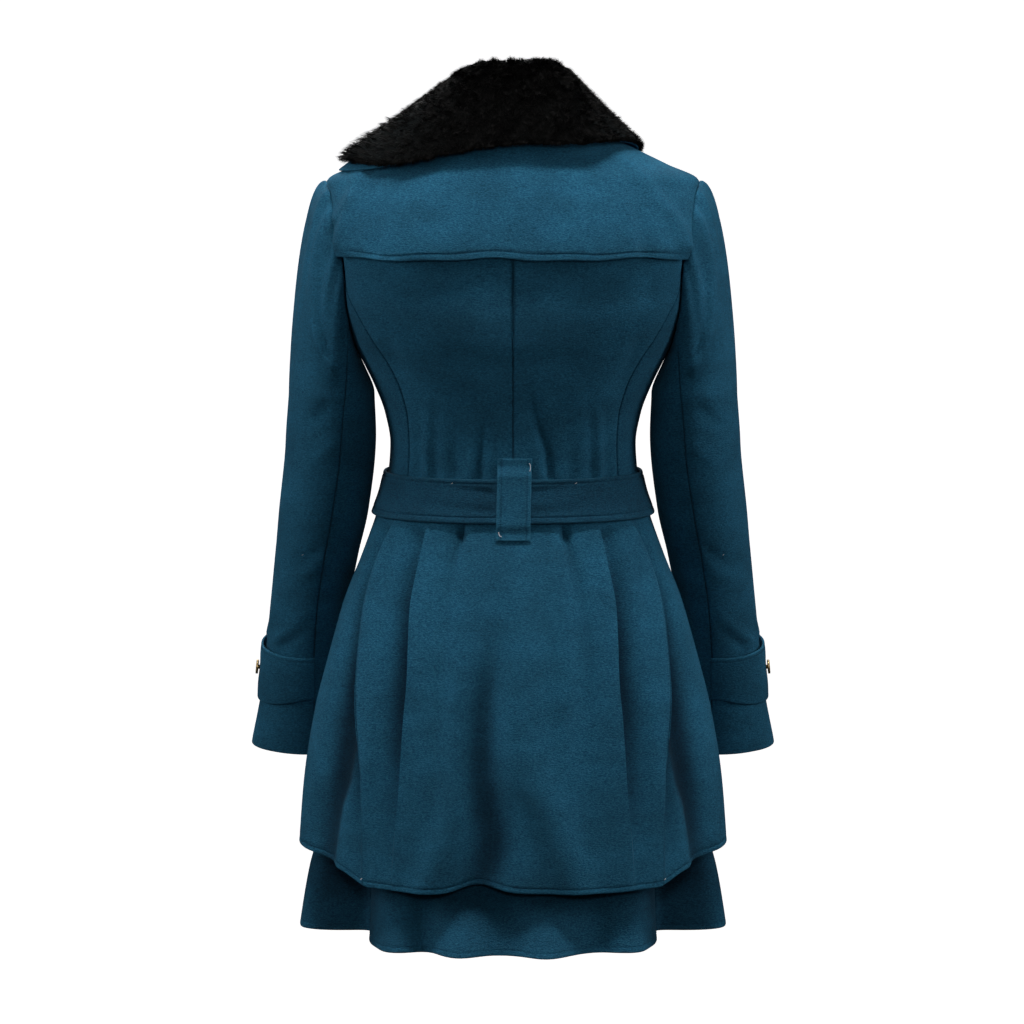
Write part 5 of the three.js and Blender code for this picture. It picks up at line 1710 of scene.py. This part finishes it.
def select_upright_edges(obj):
    """Leaves edit mode on with only the edges along Z selected."""
    bpy.ops.object.mode_set(mode="EDIT")
    bpy.ops.mesh.select_mode(type="EDGE")
    bpy.ops.mesh.select_all(action="DESELECT")
    bpy.ops.object.mode_set(mode="OBJECT")
    for e in obj.data.edges:
        a, b = [obj.data.vertices[k].co for k in e.vertices]
        e.select = math.hypot(a.x - b.x, a.y - b.y) < 1e-6
    bpy.ops.object.mode_set(mode="EDIT")


# The button's face from its rim inwards: each inset as a share of the radius, and then a move as a
# share of the thickness
BUTTON_STEPS = ((0.1, 0), (0.12, -0.34), (0.1, -0.1), (0.2, 0.16), (0.08, 0.2), (0.16, -0.06))


def dished_button(name, radius, thick, shank, matrix):
    """A button with a rounded rim, a sunk dish and a low boss in its middle, on a short shank."""
    deselect()
    middle = (0, 0, (shank + thick / 2) * MM)
    bpy.ops.mesh.primitive_cylinder_add(vertices=48, radius=radius * MM, depth=thick * MM, location=middle)
    obj = bpy.context.object
    bpy.ops.object.transform_apply(location=True, rotation=True, scale=True)
    select_faces(obj, lambda p: p.normal.z > 0.9)
    for inset, move in BUTTON_STEPS:
        bpy.ops.mesh.inset(thickness=radius * inset * MM)
        bpy.ops.transform.translate(value=(0, 0, thick * move * MM))
    select_faces(obj, lambda p: p.normal.z < -0.9)
    bpy.ops.mesh.inset(thickness=radius * 0.7 * MM)
    bpy.ops.mesh.extrude_region_move(TRANSFORM_OT_translate={"value": (0, 0, -shank * MM)})
    bpy.ops.object.mode_set(mode="OBJECT")
    round_edges(thick * 0.13, 3, 30)
    return finish_metal(obj, name, matrix, (shank + thick * 0.58) * MM)


BUCKLE_HALF_WIDTH = 27
BUCKLE_HALF_HEIGHT = 30
BUCKLE_ROD = 5
BUCKLE_THICK = 3
BUCKLE_CORNER = 8


def belt_buckle(matrix):
    """A rounded flat frame."""
    deselect()
    bpy.ops.mesh.primitive_cube_add(size=2, location=(0, 0, BUCKLE_THICK / 2 * MM))
    obj = bpy.context.object
    obj.scale = (BUCKLE_HALF_WIDTH * MM, BUCKLE_HALF_HEIGHT * MM, BUCKLE_THICK / 2 * MM)
    bpy.ops.object.transform_apply(location=True, rotation=True, scale=True)
    select_upright_edges(obj)
    bpy.ops.mesh.bevel(offset=BUCKLE_CORNER * MM, segments=6)
    select_faces(obj, lambda p: abs(p.normal.z) > 0.9)
    bpy.ops.mesh.inset(thickness=BUCKLE_ROD * MM)
    bpy.ops.mesh.bridge_edge_loops()
    bpy.ops.object.mode_set(mode="OBJECT")
    round_edges(0.9, 3, 40)
    return finish_metal(obj, "belt_buckle_frame", matrix, BUCKLE_THICK * 0.5 * MM)


PRONG_RADIUS = 1.7
PRONG_TIP = 2.2


def buckle_prong(matrix):
    """A rod across the frame's middle, whose tip bends down and narrows."""
    deselect()
    length = 2 * (BUCKLE_HALF_WIDTH - PRONG_TIP) * MM
    across = (0, math.pi / 2, 0)
    bpy.ops.mesh.primitive_cylinder_add(vertices=20, radius=PRONG_RADIUS * MM, depth=length, rotation=across)
    obj = bpy.context.object
    bpy.ops.object.transform_apply(location=True, rotation=True, scale=True)
    obj.data.transform(Matrix.Translation((0, 0, (BUCKLE_THICK + 0.9) * MM)))
    select_faces(obj, lambda p: p.normal.x > 0.9)
    bpy.ops.mesh.extrude_region_move(TRANSFORM_OT_translate={"value": (PRONG_TIP * MM, 0, -0.7 * MM)})
    bpy.ops.transform.resize(value=(1, 0.55, 0.55))
    bpy.ops.object.mode_set(mode="OBJECT")
    round_edges(0.4, 2, 40)
    finish_metal(obj, "belt_buckle_prong", matrix, 0)


def facing(point, outward):
    """A place on the coat in metres: the piece's own +Z points outward and its +Y up."""
    out = Vector(outward).normalized()
    up = Vector((0, 0, 1))
    right = up.cross(out).normalized()
    up = out.cross(right)
    turned = Matrix((right, up, out)).transposed().to_4x4()
    return Matrix.Translation(Vector(point) * MM) @ turned


# White tacking threads left in the cloth
def tack(name, points, radius=0.32):
    curve = bpy.data.curves.new(name, "CURVE")
    curve.dimensions = "3D"
    curve.bevel_depth = radius * MM
    curve.bevel_resolution = 2
    curve.use_fill_caps = True
    line = curve.splines.new("POLY")
    line.points.add(len(points) - 1)
    for k, p in enumerate(points):
        line.points[k].co = (*(np.array(p) * MM), 1)
    obj = bpy.data.objects.new(name, curve)
    bpy.context.scene.collection.objects.link(obj)
    deselect()
    obj.select_set(True)
    bpy.context.view_layer.objects.active = obj
    bpy.ops.object.convert(target="MESH")
    obj = bpy.context.object
    obj.data.materials.append(thread)
    bpy.ops.object.shade_smooth()
    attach(obj, "root")


# Making the coat
SIDES = (("left", False), ("right", True))
UPPER_SLEEVE_ROUND = 190
UNDER_SLEEVE_ROUND = 115
made = {}
for side, mirror in SIDES:
    made["back_" + side] = back_panel("wool_back_" + side, mirror)
    made["side_back_" + side] = side_panel("wool_side_back_" + side, True, mirror)
    made["side_front_" + side] = side_panel("wool_side_front_" + side, False, mirror)
    made["front_" + side] = front_panel("wool_front_" + side, mirror)
    made["upper_sleeve_" + side] = sleeve_panel(
        "wool_upper_sleeve_" + side, front_seam, back_seam, UPPER_SLEEVE_ROUND, mirror
    )
    made["under_sleeve_" + side] = sleeve_panel(
        "wool_under_sleeve_" + side, back_seam, front_seam_again, UNDER_SLEEVE_ROUND, mirror
    )
    made["cuff_" + side] = cuff("wool_cuff_" + side, mirror)
    made["overskirt_" + side] = skirt_panel("wool_overskirt_" + side, OVER, mirror=mirror)
    made["underskirt_" + side] = skirt_panel("wool_underskirt_" + side, UNDER, mirror=mirror)
made["storm_flap"] = storm_flap()
made["overskirt_back"] = skirt_panel("wool_overskirt_back", OVER, back=True)
made["underskirt_back"] = skirt_panel("wool_underskirt_back", UNDER, back=True)
made["belt"] = belt_strap()
made["belt_loop"] = belt_loop()
made["under_collar"] = under_collar()
made["fur_collar"] = fur_backing()
for cad_name, piece in made.items():
    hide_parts(cad_name)

rng = np.random.default_rng(SEED)
for name, low, high in (("right", 0, 0.36), ("back", 0.36, 0.64), ("left", 0.64, 1)):
    fur_pile("fur_pile_" + name, low, high, rng)

# Buttons and buckle: radius, thickness and shank of each kind of button, then where they are
CUFF_BUTTON_SIZES = (7.5, 2.4, 1.6)
FRONT_BUTTON_SIZES = (13, 3.4, 2)
CUFF_BUTTON_Z = -549
CUFF_BUTTON_LIFT = CUFF_CLOTH + CUFF_GAP + CUFF_STAND_OFF * 0.4 + 0.3
FRONT_BUTTON_Z = (-133, -216, -299, -446)
BUCKLE_Z = -351
BUCKLE_LIFT = 4.3
for side, mirror in SIDES:
    angle, row = np.array(float(BUTTON_ANGLE)), row_at(CUFF_BUTTON_Z)
    out = sleeve_normals(angle, row)
    place = facing(flipped(sleeve(angle, row) + out * CUFF_BUTTON_LIFT, mirror), flipped(out, mirror))
    button = dished_button("brass_cuff_button_" + side, *CUFF_BUTTON_SIZES, place)
    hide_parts("cuff_button_" + side)
t = np.array(180.0)
for k, height in enumerate(FRONT_BUTTON_Z):
    z = np.array(float(height))
    surface = bodice if z > WAIST_Z else overskirt
    out = normals(surface, t, z)
    place = facing(surface(t, z) + out * (OVERLAP_LIFT + 0.6), out)
    button = dished_button(f"brass_front_button_{k + 1}", *FRONT_BUTTON_SIZES, place)
    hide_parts(f"front_button_{k + 1}")
z = np.array(float(BUCKLE_Z))
out = normals(belt_line, t, z)
place = facing(belt_line(t, z) + out * BUCKLE_LIFT, out)
buckle = belt_buckle(place)
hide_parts("belt_buckle")
buckle_prong(place)

# Tacking threads: two dots on the belt, a stitch at two corners of the loop, and one each on the hem's
# seams and the sleeves
TACK_LIFT = 0.4
BELT_TACK_X = (61, -63)
BELT_TACK_Z = -333
HEM_TACK_ANGLE = 41.8
HEM_TACK_RISE = 6.5
SLEEVE_TACK_ANGLE = 71.7
SLEEVE_TACK_Z = -408
LOOP_TACKS = (
    ("top", [(-14.6, -312.5), (-15.8, -314.5), (-16, -317.6), (-15.2, -320)]),
    ("bottom", [(11.6, -384.6), (13.2, -384), (14.2, -382.4), (14.6, -380)]),
)
for k, x in enumerate(BELT_TACK_X):
    z = np.array(float(BELT_TACK_Z))
    t = angle_across(BELT, x, z)
    at = belt_line(t, z) + normals(belt_line, t, z) * TACK_LIFT
    tack(f"tack_belt_{k + 1}", [at + (-0.8, 0.2, 0.4), at + (0, 0.7, 0), at + (0.8, 0.2, -0.5)])
for name, corner in LOOP_TACKS:
    tack("tack_loop_" + name, [on_loop(x, np.array(float(z))) + (0, 0.5, 0) for x, z in corner])
for side, mirror in SIDES:
    t = np.array(-HEM_TACK_ANGLE if mirror else HEM_TACK_ANGLE)
    z = over_hem(t) + HEM_TACK_RISE
    at = overskirt(t, z) + normals(overskirt, t, z) * TACK_LIFT
    tack("tack_hem_" + side, [at + (-0.7, 0.2, 0.6), at + (0, 0.7, 0), at + (0.6, 0.2, -0.7)])
    angle, row = np.array(SLEEVE_TACK_ANGLE), row_at(SLEEVE_TACK_Z)
    at = flipped(sleeve(angle, row) + sleeve_normals(angle, row) * TACK_LIFT, mirror)
    tack("tack_sleeve_" + side, [at + (-0.6, 0.1, 0.4), at + (0, 0.6, 0), at + (0.5, 0.1, -0.5)])

# The flat cut of what shows of each cloth piece: its width and length in metres, its area, how it is
# held, and what it lies on or hangs from
SIDE_CUTS = {
    "back": Cut(0.19, 0.39, 0.0645, "draped", []),
    "side_back": Cut(0.08, 0.22, 0.013, "draped", []),
    "side_front": Cut(0.11, 0.22, 0.0187, "draped", []),
    "front": Cut(0.2, 0.38, 0.0595, "draped", []),
    "upper_sleeve": Cut(0.25, 0.62, 0.1078, "hung", []),
    "under_sleeve": Cut(0.13, 0.48, 0.0489, "hung", []),
    "cuff": Cut(0.2, 0.07, 0.0117, "laid", ["upper_sleeve_left", "upper_sleeve_right"]),
    "overskirt": Cut(0.6, 0.39, 0.1545, "hung", ["side_back_left", "side_back_right"]),
    "underskirt": Cut(0.5, 0.46, 0.1517, "hung", ["side_back_left", "side_back_right"]),
}
SINGLE_CUTS = {
    "storm_flap": Cut(0.42, 0.17, 0.0569, "hung", ["back_left", "back_right"]),
    "overskirt_back": Cut(0.44, 0.39, 0.1356, "hung", ["back_left", "back_right"]),
    "underskirt_back": Cut(0.44, 0.45, 0.1474, "hung", ["back_left", "back_right"]),
    "belt": Cut(0.93, 0.045, 0.0415, "stretched", ["back_left", "back_right"]),
    "belt_loop": Cut(0.036, 0.087, 0.0031, "laid", ["belt"]),
    "under_collar": Cut(0.65, 0.2, 0.0935, "folded", ["back_left", "back_right"]),
}


def declare(name, cut):
    on = [made[below] for below in cut.rests_on]


for name, cut in SIDE_CUTS.items():
    for side, _ in SIDES:
        declare(name + "_" + side, cut)
for name, cut in SINGLE_CUTS.items():
    declare(name, cut)


# Studio
def area_light(name, location, target, size, watts, colour=(1, 1, 1)):
    light = bpy.data.lights.new(name, "AREA")
    light.shape = "RECTANGLE"
    light.size, light.size_y = size
    light.energy = watts
    light.color = colour
    obj = bpy.data.objects.new(name, light)
    bpy.context.scene.collection.objects.link(obj)
    obj.location = location
    obj.rotation_euler = (Vector(target) - Vector(location)).to_track_quat("-Z", "Y").to_euler()


area_light("key from above", (0, 0.45, 2.1), (0, 0.05, -0.4), (1.2, 0.45), 54, (1, 0.99, 0.97))
for side, x in (("left", 2.2), ("right", -2.2)):
    area_light("soft box on the " + side, (x, 0.5, 0.3), (0, 0, -0.4), (0.6, 1.3), 20)
area_light("fill by the camera", (0, 3.4, 0.6), (0, 0, -0.4), (0.35, 0.35), 14)
area_light("front light", (0.6, -2.6, 1.6), (0, 0, -0.3), (1.8, 1.8), 45)

world = bpy.data.worlds.new("white studio")
bpy.context.scene.world = world
world.use_nodes = True
background = world.node_tree.nodes["Background"]
background.inputs["Color"].default_value = (1, 1, 1, 1)
background.inputs["Strength"].default_value = 0.035

# A white room round everything, which only the camera sees
ROOM_RADIUS = 9
bpy.ops.mesh.primitive_uv_sphere_add(segments=48, ring_count=24, radius=ROOM_RADIUS)
studio = bpy.context.object
studio.name = "white_studio"
paper, _, paper_shader = new_material("white paper")
paper_shader.inputs["Base Color"].default_value = (0.9, 0.9, 0.9, 1)
paper_shader.inputs["Emission Color"].default_value = (1, 1, 1, 1)
paper_shader.inputs["Emission Strength"].default_value = 1
studio.data.materials.append(paper)
studio.visible_diffuse = False
studio.visible_glossy = False
studio.visible_shadow = False
studio.visible_transmission = False

# Camera at the photograph's place
CAMERA_DISTANCE = 3.6
CAMERA_RISE = 6.7229
# The photograph's width in pixels, and the size of one of them at the coat
PICTURE_WIDTH = 1024
PIXEL = 0.00103
SENSOR = 36
TARGET = Vector((PIXEL, 0, -0.37286))
rise = math.radians(CAMERA_RISE)
camera_data = bpy.data.cameras.new("camera")
camera = bpy.data.objects.new("camera", camera_data)
bpy.context.scene.collection.objects.link(camera)
camera.location = TARGET + Vector((0, math.cos(rise), math.sin(rise))) * CAMERA_DISTANCE
camera.rotation_euler = (TARGET - camera.location).to_track_quat("-Z", "Y").to_euler()
camera_data.sensor_width = SENSOR
camera_data.lens = SENSOR * CAMERA_DISTANCE / (PICTURE_WIDTH * PIXEL)
bpy.context.scene.camera = camera
bpy.context.scene.view_settings.view_transform = "Standard"
bpy.context.scene.view_settings.look = "None"
